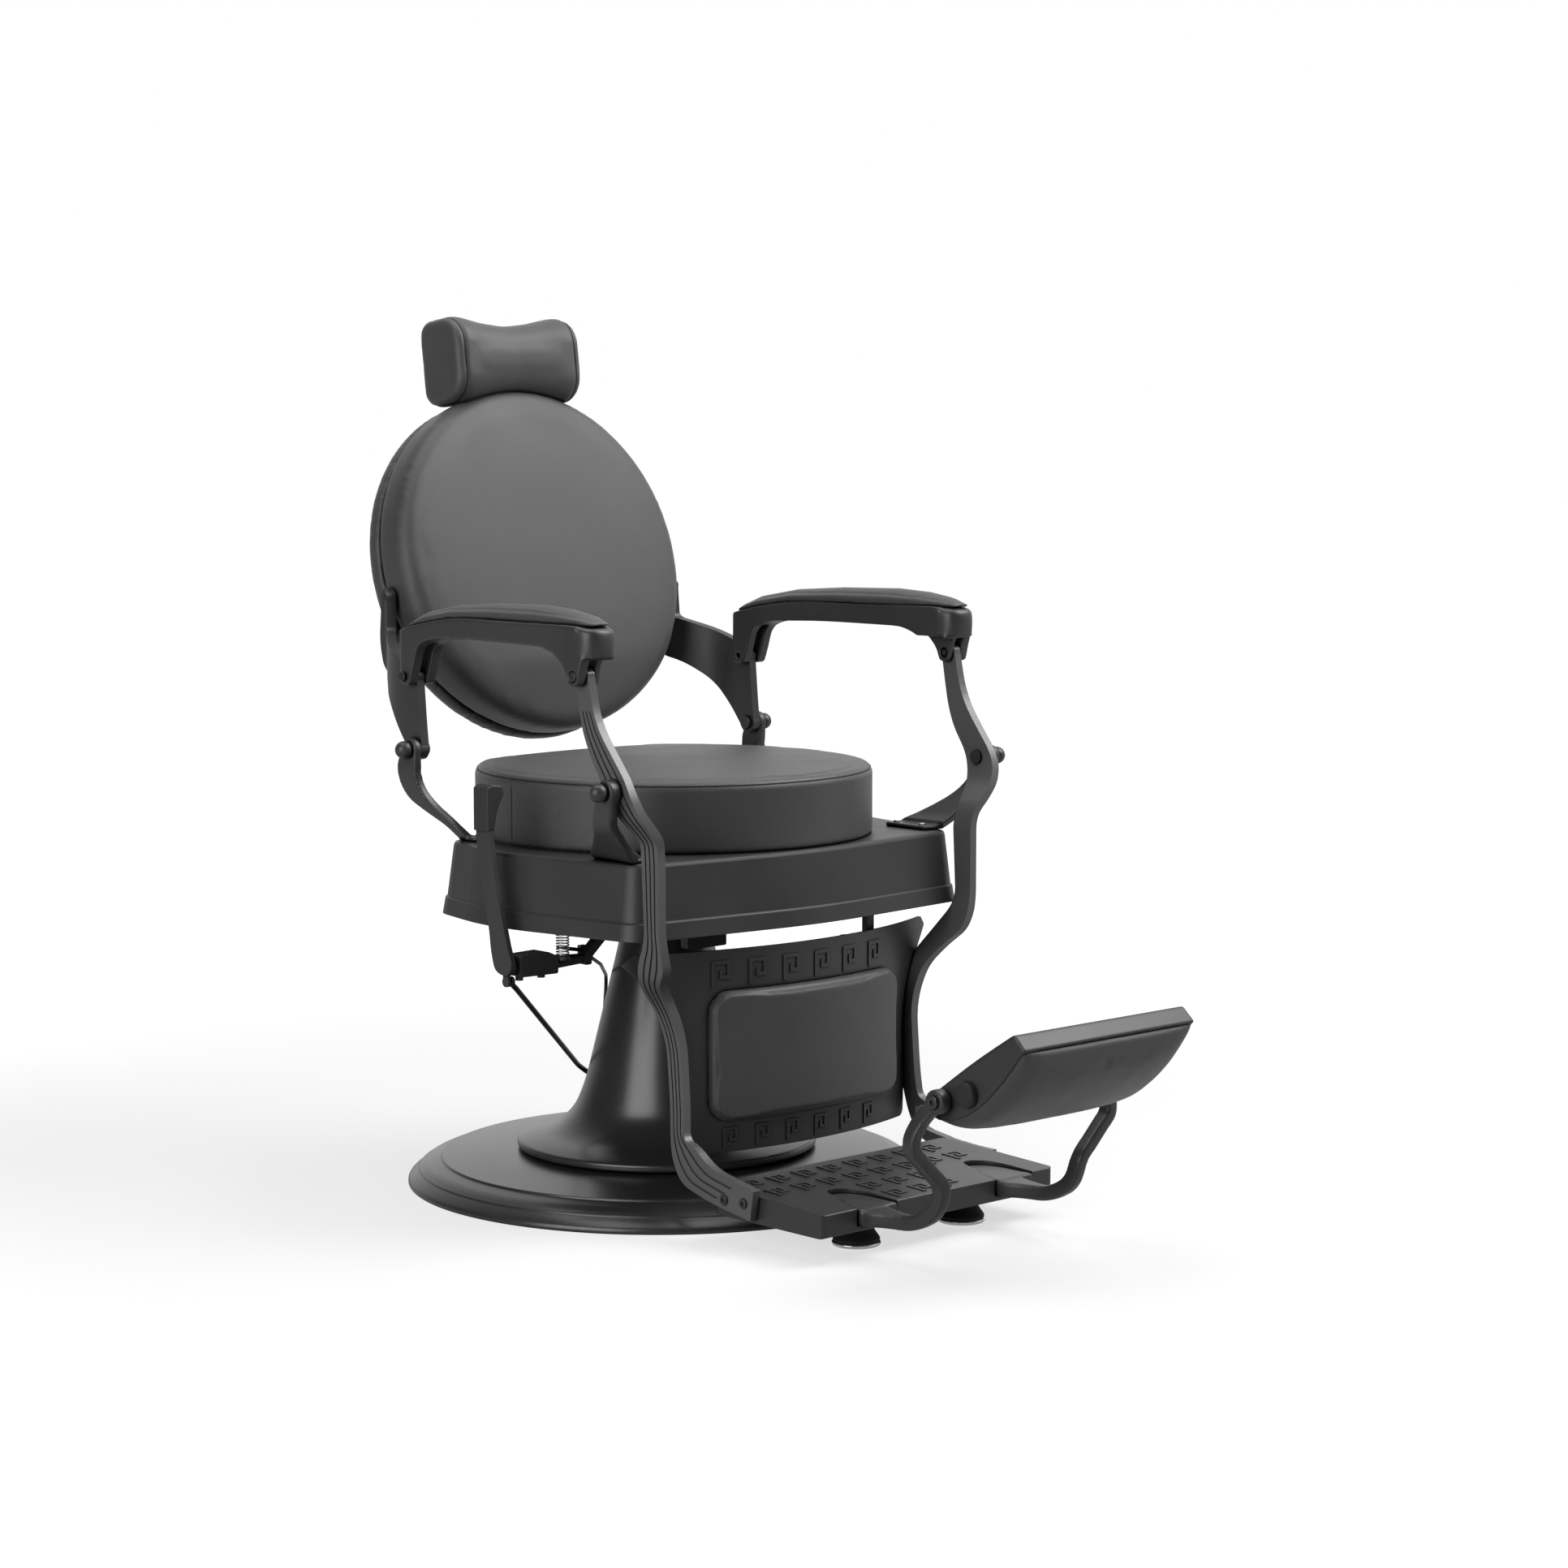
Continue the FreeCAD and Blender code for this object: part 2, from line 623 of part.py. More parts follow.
def seat_cushion():
    """Round cushion, cut straight at the rear for the backrest: rolled edges and a low crown."""
    middle = (0, SEAT_CENTRE_Y)
    top = SEAT_SEAM_HEIGHT + SEAT_CROWN
    radius = SEAT_RADIUS
    block = rod_z(radius, TRAY_TOP, top, middle)
    block = block.common(box((-radius, radius), (-400, SEAT_REAR_FLAT), (0, top)))
    corners = [edge for edge in block.Edges if edge.Length > 10 and edge.BoundBox.ZLength > 10
               and abs(edge.Vertexes[0].Y - SEAT_REAR_FLAT) < 0.1]
    block = block.makeFillet(40, corners)
    dome_radius = (radius * radius + SEAT_CROWN * SEAT_CROWN) / (2 * SEAT_CROWN)
    dome = Part.makeSphere(dome_radius, vec(0, SEAT_CENTRE_Y, top - dome_radius))
    block = block.common(dome)
    block = soften(block, SEAT_SHOULDER, lambda edge: edge.BoundBox.ZMin > SEAT_SEAM_HEIGHT - 10)
    return soften(block, 6, on_level("z", (TRAY_TOP,)))


# Brackets on the tray

def front_bracket():
    """Front bracket at +X: a foot on the tray's corner and a leaning web up to the pivot boss."""
    y, z = FRONT_PIVOT
    foot = TRAY_TOP
    web = [(y + 14, z + 2, 0), (y + 27, z - 27), (y + 41, z - 51), (y + 64, z - 68), (y + 97, z - 88, 4),
           (y + 103, foot, 0), (y + 24, foot, 0), (y + 12, z - 75), (y + 5, z - 45), (y - 8, z - 28),
           (y - 14, z + 2, 0)]
    side = prism("x", web, 240, FRONT_BOSS_OUTER)
    lean = band([(268, foot), (282, foot + 8), (309, foot + 33), (326, foot + 50), (FRONT_BOSS_OUTER - 3, foot + 74),
                 (FRONT_BOSS_OUTER - 1, foot + 90), (FRONT_BOSS_OUTER - 1, z + 24)], CASTING_THICKNESS)
    sheet = prism("y", lean, y - 40, y + 150)
    pad_outline = [(240, y + 30, 6), (268, y + 26, 6), (268, y + 106, 6), (240, y + 106, 6)]
    pad = prism("z", pad_outline, foot, foot + 6)
    boss = rod_x(PIVOT_BOSS_RADIUS, STRUT_PIVOT_OUTER + FACE_GAP, FRONT_BOSS_OUTER, FRONT_PIVOT)
    bracket = join([side.common(sheet), pad, boss])
    return bracket.cut(rod_x(PIVOT_PIN_RADIUS, 240, FRONT_BALL_X, FRONT_PIVOT))


def rear_bracket():
    """Rear bracket at +X: from the tray's rear corner back and up to the pivot boss."""
    y, z = REAR_PIVOT
    foot = TRAY_TOP
    web = [(y - 15, z, 0), (y - 12, z - 40), (y - 27, z - 68), (y - 53, z - 88), (y - 74, foot + 8, 4),
           (y - 80, foot, 0), (y - 62, foot, 0), (y - 44, z - 98), (y - 20, z - 86), (y + 12, z - 68),
           (y + 24, z - 46), (y + 27, z - 20), (y + 15, z, 0)]
    side = prism("x", web, 240, REAR_BOSS_OUTER)
    lean = band([(273, foot), (279, foot + 10), (291, foot + 34), (304, foot + 60),
                 (REAR_BOSS_OUTER + FACE_GAP, foot + 90), (REAR_BOSS_OUTER + FACE_GAP, z + 20)], CASTING_THICKNESS)
    sheet = prism("y", lean, y - 110, y + 40)
    pad_outline = [(252, y - 92, 6), (273, y - 92, 6), (273, y - 56, 6), (252, y - 56, 6)]
    pad = prism("z", pad_outline, foot, foot + 6)
    boss = rod_x(PIVOT_BOSS_RADIUS, BACK_BRACKET_OUTER + FACE_GAP, REAR_BOSS_OUTER, REAR_PIVOT)
    bracket = join([side.common(sheet), pad, boss])
    return bracket.cut(rod_x(PIVOT_PIN_RADIUS, 240, REAR_BALL_X, REAR_PIVOT))


def pivot_pin(ball_x, boss_outer, far_x, pivot):
    """Pivot pin at +X with a round head outside the boss and a flat nut inside."""
    ball = Part.makeSphere(BALL_RADIUS, vec(ball_x, pivot[0], pivot[1]))
    outside = box((boss_outer, ball_x + 20), (pivot[0] - 20, pivot[0] + 20), (pivot[1] - 20, pivot[1] + 20))
    shank = rod_x(PIVOT_PIN_RADIUS, far_x - 4, ball_x, pivot)
    nut = rod_x(PIVOT_NUT_RADIUS, far_x - 5, far_x - FACE_GAP, pivot)
    return join([ball.common(outside), shank, nut])


def front_pins():
    """Both front pivot pins."""
    pin = pivot_pin(FRONT_BALL_X, FRONT_BOSS_OUTER, STRUT_PIVOT_OUTER - STRUT_THICKNESS, FRONT_PIVOT)
    return Part.makeCompound([pin, mirrored(pin)])


def rear_pins():
    """Both rear pivot pins."""
    pin = pivot_pin(REAR_BALL_X, REAR_BOSS_OUTER, BACK_BRACKET_OUTER - CASTING_THICKNESS, REAR_PIVOT)
    return Part.makeCompound([pin, mirrored(pin)])


def bracket_screws():
    """Round-headed screws that hold the four bracket feet on the tray."""
    screws = []
    low = TRAY_TOP + 6
    for x, y in ((250, FRONT_PIVOT[0] + 44), (250, FRONT_PIVOT[0] + 92), (257.5, REAR_PIVOT[0] - 80)):
        for side in (-1, 1):
            head = rod_z(4.5, low, low + 2.5, (side * x, y))
            screws.append(soften(head, 1.2, on_level("z", (low + 2.5,))))
    return Part.makeCompound(screws)


# Backrest

def lean_back(shape):
    """Moves a shape built upright round the backrest's centre into its leaned place."""
    placed = shape.copy()
    placed.rotate(CENTRE, AXIS_X, -BACK_TILT)
    placed.translate(vec(0, BACK_CENTRE[0], BACK_CENTRE[1]))
    return placed


def turned_forward(points):
    """Solid turned about the backrest's own axis from (radius, distance forwards) corners."""
    shape = turned(points)
    shape.rotate(CENTRE, AXIS_X, 90)
    return shape


def back_cushion():
    """Round back cushion: a straight band from the seam, a wide rounded shoulder and a low crown."""
    radius = BACK_RADIUS
    seam = BACK_SEAM_OFFSET
    face = seam + BACK_PAD_DEPTH
    points = [(0, seam, 0), (radius - 3, seam, 1), (radius, seam + 12), (radius, face - 2, BACK_PAD_ROUND),
              (radius * 0.6, face + BACK_CROWN * 0.8), (0, face + BACK_CROWN, 0)]
    return lean_back(turned_forward(points))


def back_shell():
    """Dished shell behind the cushion, bored for the headrest socket."""
    radius = BACK_RADIUS
    seam = BACK_SEAM_OFFSET
    back = seam - BACK_SHELL_DEPTH + 14
    points = [(0, seam, 0), (radius - 1.5, seam, 1), (radius - 1, seam - 18, 8), (radius - 12, back, 14),
              (radius * 0.5, back - 5), (0, back - 7, 0)]
    shell = turned_forward(points)
    socket_way = rod_z(HEAD_POST_RADIUS + 4, BACK_RADIUS - HEAD_SOCKET_LENGTH - 20, BACK_RADIUS + 20,
                       (0, head_post_offset()))
    return lean_back(shell.cut(socket_way))


def head_post_offset():
    """Distance of the headrest post behind the backrest's middle plane."""
    return -BACK_SEAM_OFFSET + HEAD_POST_RADIUS + 6


def head_socket():
    """Socket tube in the shell that guides the headrest post."""
    top = BACK_RADIUS - 4
    tube = rod_z(HEAD_POST_RADIUS + 4, top - HEAD_SOCKET_LENGTH, top, (0, head_post_offset()))
    bore = rod_z(HEAD_POST_RADIUS + RUN_FIT, top - HEAD_SOCKET_LENGTH - 1, top + 1, (0, head_post_offset()))
    return lean_back(tube.cut(bore))


def back_bracket():
    """Back bracket at +X: pivot eye, armrest tongue and a long forked arm up to the backrest's rim."""
    y, z = REAR_PIVOT
    arm_y, arm_z = ARM_REAR_PIVOT
    web = [(y - 14, z - 2, 0), (y - 10, z + 30), (arm_y - 7, arm_z, 0), (arm_y + 9, arm_z, 0),
           (y + 20, z + 112, 6), (y + 64, z + 129), (y + 112, z + 146, 10), (y + 114, z + 190, 0),
           (y + 138, z + 190, 0), (y + 143, z + 130), (y + 134, z + 96, 20), (y + 98, z + 82), (y + 62, z + 56),
           (y + 34, z + 22), (y + 14, z - 3, 0)]
    side = prism("x", web, 225, BACK_BRACKET_OUTER)
    tab_y = y + 126
    tab = rod_x(12.5, 225, BACK_BRACKET_OUTER, (tab_y, z + 190))
    tongue = rod_x(9, 225, BACK_BRACKET_OUTER, ARM_REAR_PIVOT)
    eye = rod_x(14, 225, BACK_BRACKET_OUTER, REAR_PIVOT)
    rim = BACK_RADIUS + SOFT_GAP
    cast = CASTING_THICKNESS
    plan = band([(BACK_BRACKET_OUTER, y - 20), (BACK_BRACKET_OUTER, y + 56), (rim + 24, y + 110),
                 (rim + 11, y + 125), (rim + 11, y + 155)], cast)
    sheet = prism("z", plan, z - 20, z + 220)
    bracket = join([side, tab, tongue, eye]).common(sheet)
    holes = [rod_x(PIVOT_PIN_RADIUS + RUN_FIT, 225, 300, REAR_PIVOT),
             rod_x(ARM_PIN_RADIUS, 225, 300, ARM_REAR_PIVOT)]
    return bracket.cut(holes + [back_screws()])


def back_screws():
    """Screws that hold the back brackets to the rim of the shell."""
    y = REAR_PIVOT[0] + 126
    z = REAR_PIVOT[1] + 190
    face = BACK_RADIUS + SOFT_GAP + 11
    head = soften(rod_x(5, face, face + 3, (y, z)), 1.2, on_level("x", (face + 3,)))
    return Part.makeCompound([head, mirrored(head)])


# Headrest

def head_section(x, height, depth):
    """Rounded outline of the headrest across X at one place along it."""
    y, z = HEAD_CENTRE
    half = depth / 2
    tall = height / 2
    round_front = depth * 0.42
    points = [(-half, -tall, round_front), (half, -tall, depth * 0.2), (half, tall, depth * 0.2),
              (-half, tall, round_front)]
    lean = math.radians(HEAD_TILT)
    turned_points = []
    for a, b, radius in points:
        turned_points.append((y + a * math.cos(lean) + b * math.sin(lean),
                              z - a * math.sin(lean) + b * math.cos(lean), radius))
    return outline("x", turned_points, x)


def head_cushion():
    """Saddle-shaped headrest pillow, tall at its ends and drawn in at its waist."""
    end = HEAD_HALF_LENGTH
    half = [(end, HEAD_END_HEIGHT - 10, HEAD_END_DEPTH - 10), (end - 7, HEAD_END_HEIGHT, HEAD_END_DEPTH),
            (end * 0.66, HEAD_END_HEIGHT - 3, HEAD_END_DEPTH - 2),
            (end * 0.3, HEAD_WAIST_HEIGHT + 5, HEAD_WAIST_DEPTH + 4)]
    stations = [(-x, height, depth) for x, height, depth in half]
    stations.append((0, HEAD_WAIST_HEIGHT, HEAD_WAIST_DEPTH))
    stations += [(x, height, depth) for x, height, depth in reversed(half)]
    wires = [head_section(*station) for station in stations]
    return Part.makeLoft(wires, True, False).cut(head_stem())


def head_stem():
    """Post that slides in the shell's socket, with the plate that the pillow is fixed to."""
    top = BACK_RADIUS + 58
    offset = head_post_offset()
    post = rod_z(HEAD_POST_RADIUS, top - HEAD_POST_LENGTH, top, (0, offset))
    plate = box((-40, 40), (offset - HEAD_POST_RADIUS - 12, offset - HEAD_POST_RADIUS + 2), (top - 46, top))
    return lean_back(join([post, plate]))


# Armrests

def arm_plan():
    """Outline of the armrest from above at +X, slightly toed in towards the rear."""
    nose = ARM_NOSE_Y
    heel = ARM_HEEL_Y
    return [(284, -205, 60), (287, nose, 24), (337, nose, 24), (339, -205, 60), (330, -60, 300), (314, 110, 80),
            (311, heel, 18), (270, heel, 18), (268, 110, 80), (279, -60, 300)]


def arm_casting():
    """Armrest casting at +X: a beam with a rounded nose and two forked ends for the tongues."""
    front_y, front_z = ARM_FRONT_PIVOT
    rear_y, rear_z = ARM_REAR_PIVOT
    low = ARM_UNDERSIDE
    nose = ARM_NOSE_Y
    top = [(y, arm_top_at(y)) for y in (-60, 20, 70, 120)]
    profile = [(nose - 1, ARM_TOP - 2, 6), (nose + 36, ARM_TOP + 1)] + top + [
        (ARM_HEEL_Y + 1, arm_top_at(ARM_HEEL_Y) + 1, 14), (ARM_HEEL_Y + 1, low - 10), (rear_y + 12, rear_z + 2),
        (rear_y + 8, rear_z - 11, 6), (rear_y - 10, rear_z - 11, 8), (rear_y - 18, rear_z + 10),
        (rear_y - 28, low - 10), (rear_y - 62, low - 1), (0, low + 3), (front_y + 62, low + 2),
        (front_y + 32, low - 8), (front_y + 15, front_z + 6), (front_y + 8, front_z - 12, 6),
        (front_y - 8, front_z - 12, 6), (front_y - 14, front_z + 12), (front_y - 19, low - 8, 4),
        (nose - 1, low - 9, 12)]
    side = prism("x", profile, 255, 350)
    body = side.common(prism("z", arm_plan(), front_z - 60, ARM_TOP + 40))
    gap = ARM_CHEEK_GAP
    front_slot = box((STRUT_UPPER_OUTER - STRUT_THICKNESS - gap, STRUT_UPPER_OUTER + gap),
                     (front_y - 17, front_y + 40), (front_z - 40, low - 8))
    rear_slot = box((BACK_BRACKET_OUTER - CASTING_THICKNESS - gap, BACK_BRACKET_OUTER + gap),
                    (rear_y - 40, rear_y + 60), (rear_z - 40, low - 8))
    holes = [rod_x(ARM_PIN_RADIUS + RUN_FIT, 250, 350, ARM_REAR_PIVOT),
             rod_x(ARM_PIN_RADIUS + 2.5, 250, 350, ARM_FRONT_PIVOT)]
    inner = box((250, 303), (front_y - 16, front_y + 44), (front_z - 40, low - 9))
    return body.cut([front_slot, rear_slot, inner] + holes)


def arm_pad():
    """Armrest pad at +X: long, crowned along and across, drawn in to a point at its nose."""
    stations = [(-240, 12, 2.5), (-222, 18, 9), (-182, 22, 15), (-130, 22.5, 18), (-30, 22, 16), (54, 21, 13),
                (119, 20, 11), (148, 17, 6), (164, 12, 2.5)]
    wires = []
    for y, half, rise in stations:
        middle = arm_middle(y)
        base = arm_top_at(y) + 1.2
        points = [(middle - half, base, 0.5), (middle + half, base, 0.5), (middle + half + 1, base + rise * 0.45),
                  (middle, base + rise * 1.2, half * 3), (middle - half - 1, base + rise * 0.45)]
        wires.append(outline("y", points, y))
    return Part.makeLoft(wires, True, True).cut(arm_casting())


def arm_middle(y):
    """Middle of the armrest at one place along it."""
    return 311 - (y + 215) * (311 - 290) / 350


def arm_top_at(y):
    """Height of the casting's top at one place along the armrest."""
    return ARM_TOP - 0.0008 * max(0.0, y) ** 2


# Leg frame

def strut_stations():
    """Front and rear edge of a strut, as pairs of (y, z), from its head down to its foot."""
    y, z = ARM_FRONT_PIVOT
    reach = STRUT_EYE_RADIUS
    fy, fz = FRONT_PIVOT
    low = FOOTPLATE_TOP
    return [(y - reach, z, y + reach, z), (y - 21, z - 42, y + 5, z - 42), (y - 33, z - 68, y - 1, z - 69),
            (fy + 1, fz + 38, fy + 44, fz + 37), (fy - 19, fz + 14, fy + 26, fz + 12),
            (fy - 30, fz - 8, fy + 13, fz - 18), (fy - 36, fz - 34, fy + 2, fz - 44),
            (fy - 36, fz - 56, fy - 2, fz - 66), (fy - 30, fz - 76, fy + 2, fz - 84),
            (fy - 30, 360, fy - 3, 375), (fy - 25, 338, fy + 20, 344), (fy - 2, 316, fy + 34, 320),
            (fy + 10, 293, fy + 41, 298), (fy + 11, 250, fy + 38, 255), (fy + 1, 120, fy + 27, 128),
            (fy - 20, low + 50, fy + 20, low + 32), (fy - 55, low + 28, fy + 2, low + 2),
            (fy - 104, low + 19, fy - 52, low - 13), (fy - 131, low + 14, fy - 125, low - 24)]


def strut_line(inset):
    """Outer face of a strut across X from its foot up to its head, as (x, z), moved inwards."""
    foot = STRUT_FOOT_OUTER - inset
    lower = STRUT_LOWER_OUTER - inset
    middle = STRUT_MIDDLE_OUTER - inset
    pivot = STRUT_PIVOT_OUTER - inset
    head = STRUT_UPPER_OUTER - inset
    return [(foot, 20), (foot, 92), (lower, 150), (lower, 264), (middle, 344), (middle, 478), (middle + 4, 496),
            (pivot, 542), (pivot, 600), (head, 645), (head, 720)]


def front_strut():
    """Bent strut at +X, fluted outside, from the armrest past the front pivot to the footplate."""
    stations = strut_stations()
    side = prism("x", strip(stations, 0, 1), 150, 360)
    eye = rod_x(STRUT_EYE_RADIUS, 150, 360, ARM_FRONT_PIVOT)
    boss = rod_x(PIVOT_BOSS_RADIUS, 150, 360, FRONT_PIVOT)
    sheet = prism("y", band(strut_line(0), STRUT_THICKNESS), -420, -190)
    strut = join([side, eye, boss]).common(sheet)
    skin = prism("y", band([(x + 1, z) for x, z in strut_line(0)], FLUTE_DEPTH + 1), -420, -190)
    for middle in (0.25, 0.5, 0.75):
        run = stations[1:-1]
        groove = strip(run, middle - 0.035, middle + 0.035)
        strut = strut.cut(prism("x", groove, 150, 360).common(skin))
    inner_face = STRUT_PIVOT_OUTER - STRUT_THICKNESS
    holes = [rod_x(PIVOT_NUT_RADIUS + FACE_GAP, inner_face - 20, inner_face, FRONT_PIVOT),
             rod_x(PIVOT_PIN_RADIUS + RUN_FIT, 150, 360, FRONT_PIVOT),
             rod_x(ARM_PIN_RADIUS, 150, 360, ARM_FRONT_PIVOT)]
    return strut.cut(holes)


def left_strut():
    """Strut at +X; the top of its foot is lower than that of the other."""
    top = FOOTPLATE_TOP + 4
    above = [(-420, top, 0), (-372, top), (-334, top + 3), (-284, top + 10), (-268, top + 26, 0), (-268, top + 40, 0),
             (-420, top + 60, 0)]
    return front_strut().cut(prism("x", above, 150, 260))


def strut_bolts():
    """Four socket bolts that hold the struts' feet to the footplate."""
    bolts = []
    face = STRUT_FOOT_OUTER
    for y, z in ((-353, FOOTPLATE_TOP - 5), (-388, FOOTPLATE_TOP - 4)):
        head = soften(rod_x(6, face, face + 2.5, (y, z)), 1, on_level("x", (face + 2.5,)))
        head = head.cut(rod_x(2.8, face + 0.8, face + 3, (y, z)))
        bolts += [head, mirrored(head)]
    return Part.makeCompound(bolts)


def key_run(start, cell, height, count):
    """Outlines of a row of Greek key figures, each one bent line of constant width."""
    stroke = height / 7
    figures = []
    for i in range(count):
        left = start + i * cell
        route = [(0, 0), (0, 7), (5.6, 7), (5.6, 2), (2.4, 2), (2.4, 4.4)]
        line = [(left + a * stroke, b * stroke) for a, b in reversed(route)]
        figures.append(line)
    return figures, stroke


def key_shapes(plane, start, cell, height, count, low, levels):
    """Prisms of a row of Greek key figures."""
    figures, stroke = key_run(start, cell, height - height / 7, count)
    shapes = []
    for line in figures:
        points = [(a, b, 0) for a, b, *_ in band([(a, b + low) for a, b in line], stroke)]
        shapes.append(prism(plane, points, levels[0], levels[1]))
    return shapes


def panel_ring(outer, inner):
    """Upright ring about the panel's centre of curvature."""
    centre = (0, PANEL_FRONT_Y + PANEL_RADIUS)
    return rod_z(outer, 60, 400, centre).cut(rod_z(inner, 50, 410, centre))


def panel_outline(inset):
    """Outline of the leg panel seen from the front, from the struts' inner faces inwards."""
    inner = STRUT_THICKNESS + inset
    low = STRUT_LOWER_OUTER - inner
    high = STRUT_MIDDLE_OUTER - inner
    right = [(low - 2, PANEL_BOTTOM + inset, 10), (low, 130, 0), (low, 266), (high - 2, 338, 3),
             (high - 15, PANEL_TOP - inset, 2)]
    left = [(-point[0],) + point[1:] for point in reversed(right)]
    return right + left


def leg_panel():
    """Bowed leg panel with a Greek key band in low relief above and below the calf cushion."""
    sheet = prism("y", panel_outline(0), PANEL_FRONT_Y - 20, PANEL_FRONT_Y + 120)
    panel = sheet.common(panel_ring(PANEL_RADIUS, PANEL_RADIUS - PANEL_THICKNESS))
    relief = panel_ring(PANEL_RADIUS + KEY_RELIEF, PANEL_RADIUS - 1)
    levels = (PANEL_FRONT_Y - 20, PANEL_FRONT_Y + 120)
    upper = key_shapes("y", -156, 52.5, 38, 6, 304, levels)
    lower = key_shapes("y", -141, 47.5, 30, 6, 99, levels)
    keys = [shape.common(relief) for shape in upper + lower]
    panel = panel.fuse(keys + panel_lug())
    return panel.cut([front_strut(), mirrored(front_strut())])


def calf_cushion():
    """Calf cushion on the panel: rounded corners, rolled edges and a slight crown."""
    half = CALF_HALF_WIDTH
    points = [(-half, CALF_BOTTOM, 26), (half, CALF_BOTTOM, 26), (half, CALF_TOP, 26), (-half, CALF_TOP, 26)]
    block = prism("y", points, PANEL_FRONT_Y - 40, PANEL_FRONT_Y + 60)
    front = PANEL_RADIUS * 0.86
    outer = rod_z(front, 60, 400, (0, PANEL_FRONT_Y - CALF_BULGE + front))
    inner = rod_z(PANEL_RADIUS, 50, 410, (0, PANEL_FRONT_Y + PANEL_RADIUS))
    pad = block.common(outer).cut(inner)

    def front_edge(edge):
        middle = edge.valueAt((edge.FirstParameter + edge.LastParameter) / 2)
        offset = middle - vec(0, PANEL_FRONT_Y - CALF_BULGE + front, middle.z)
        return abs(math.hypot(offset.x, offset.y) - front) < 0.5

    return soften(pad, 7, front_edge)


def leg_crossbars():
    """Two bars behind the panel that tie the struts together."""
    bars = []
    for half, z, y in ((225, 296, -248), (195.5, 112, -247)):
        bars.append(box((-half, half), (y, y + 10), (z - 9, z + 9)))
    cut = rod_z(PANEL_RADIUS - PANEL_THICKNESS, 50, 410, (0, PANEL_FRONT_Y + PANEL_RADIUS))
    return Part.makeCompound([bar.common(cut).cut(front_strut()).cut(mirrored(front_strut())) for bar in bars])


def pocket_outline(start, gap):
    """Leaf-shaped pocket in the footplate's front edge, from its -X edge at the front."""
    front = FOOTPLATE_FRONT
    return [(start + gap, front - 10, 0), (start + gap, front + 8), (start + 8 + gap, front + 36),
            (start + 17 + gap, front + 50), (start + 27 + gap * 0.5, front + 84 - gap),
            (start + 42, front + 89 - gap), (start + 60 - gap, front + 76 - gap), (start + 68 - gap, front + 50),
            (start + 68 - gap, front + 12), (start + 69 - gap, front - 10, 0)]


def footplate():
    """Wedge-shaped footplate, hollow beneath, with two front pockets and a Greek key relief."""
    half = FOOTPLATE_HALF_WIDTH
    front = FOOTPLATE_FRONT
    rear = FOOTPLATE_REAR
    low = FOOTPLATE_BOTTOM
    top = FOOTPLATE_TOP
    rise = FOOTPLATE_RISE
    side = prism("x", [(front, low, 3), (rear, low, 2), (rear, top + rise, 3), (front, top, 2)], -half, half)
    plan = [(-half, front, 8), (half, front, 8), (half, rear, 12), (-half, rear, 12)]
    plate = side.common(prism("z", plan, 0, 120))
    hollows = [box((-half + 7, half - 7), (rear - 88, rear - 8), (0, top - 7)),
               box((-60, 84), (front + 8, rear - 94), (0, top - 7))]
    for start in POCKET_STARTS:
        hollows.append(prism("z", pocket_outline(start, 0), POCKET_FLOOR, 120))
    plate = plate.cut(hollows)
    lift = 1.2
    skin = prism("x", [(front, top - 2, 0), (rear, top + rise - 2, 0), (rear, top + rise + lift, 0),
                       (front, top + lift, 0)], -half, half)
    figures = []
    for start, count, y in ((-178, 8, -368), (-178, 8, -414), (-64, 3, -460), (-64, 3, -504)):
        figures += key_shapes("z", start, 44.5, 36, count, y, (20, 100))
    return plate.fuse([figure.common(skin) for figure in figures])


def glide_cones():
    """Dark rubber cones of the glides under the footplate."""
    ring = GLIDE_LIFT + GLIDE_RING_HEIGHT
    points = [(0, ring - 3, 0), (GLIDE_RING_RADIUS - 4, ring - 3, 0), (GLIDE_RING_RADIUS - 1, ring + 2),
              (21, FOOTPLATE_BOTTOM - 12), (19, FOOTPLATE_BOTTOM, 0), (0, FOOTPLATE_BOTTOM, 0)]
    cone = turned(points)
    return Part.makeCompound([cone.translated(vec(side * GLIDE_X, GLIDE_Y, 0)) for side in (-1, 1)])


def glide_rings():
    """Bright rings of the glides."""
    low = GLIDE_LIFT
    high = low + GLIDE_RING_HEIGHT
    points = [(0, low, 0), (GLIDE_RING_RADIUS - 2, low, 2), (GLIDE_RING_RADIUS, high - 2), (GLIDE_RING_RADIUS - 2, high, 0),
              (GLIDE_RING_RADIUS - 4, high - 3, 0), (0, high - 3, 0)]
    ring = turned(points)
    return Part.makeCompound([ring.translated(vec(side * GLIDE_X, GLIDE_Y, 0)) for side in (-1, 1)])


# Footrest

def rest_root(start):
    """Leaf-shaped root of a footrest arm, which fills its pocket."""
    leaf = prism("z", pocket_outline(start, POCKET_GAP), POCKET_FLOOR, POCKET_TOP)
    return leaf.common(box((-300, 300), (FOOTPLATE_FRONT - 4, FOOTPLATE_REAR), (0, 100)))


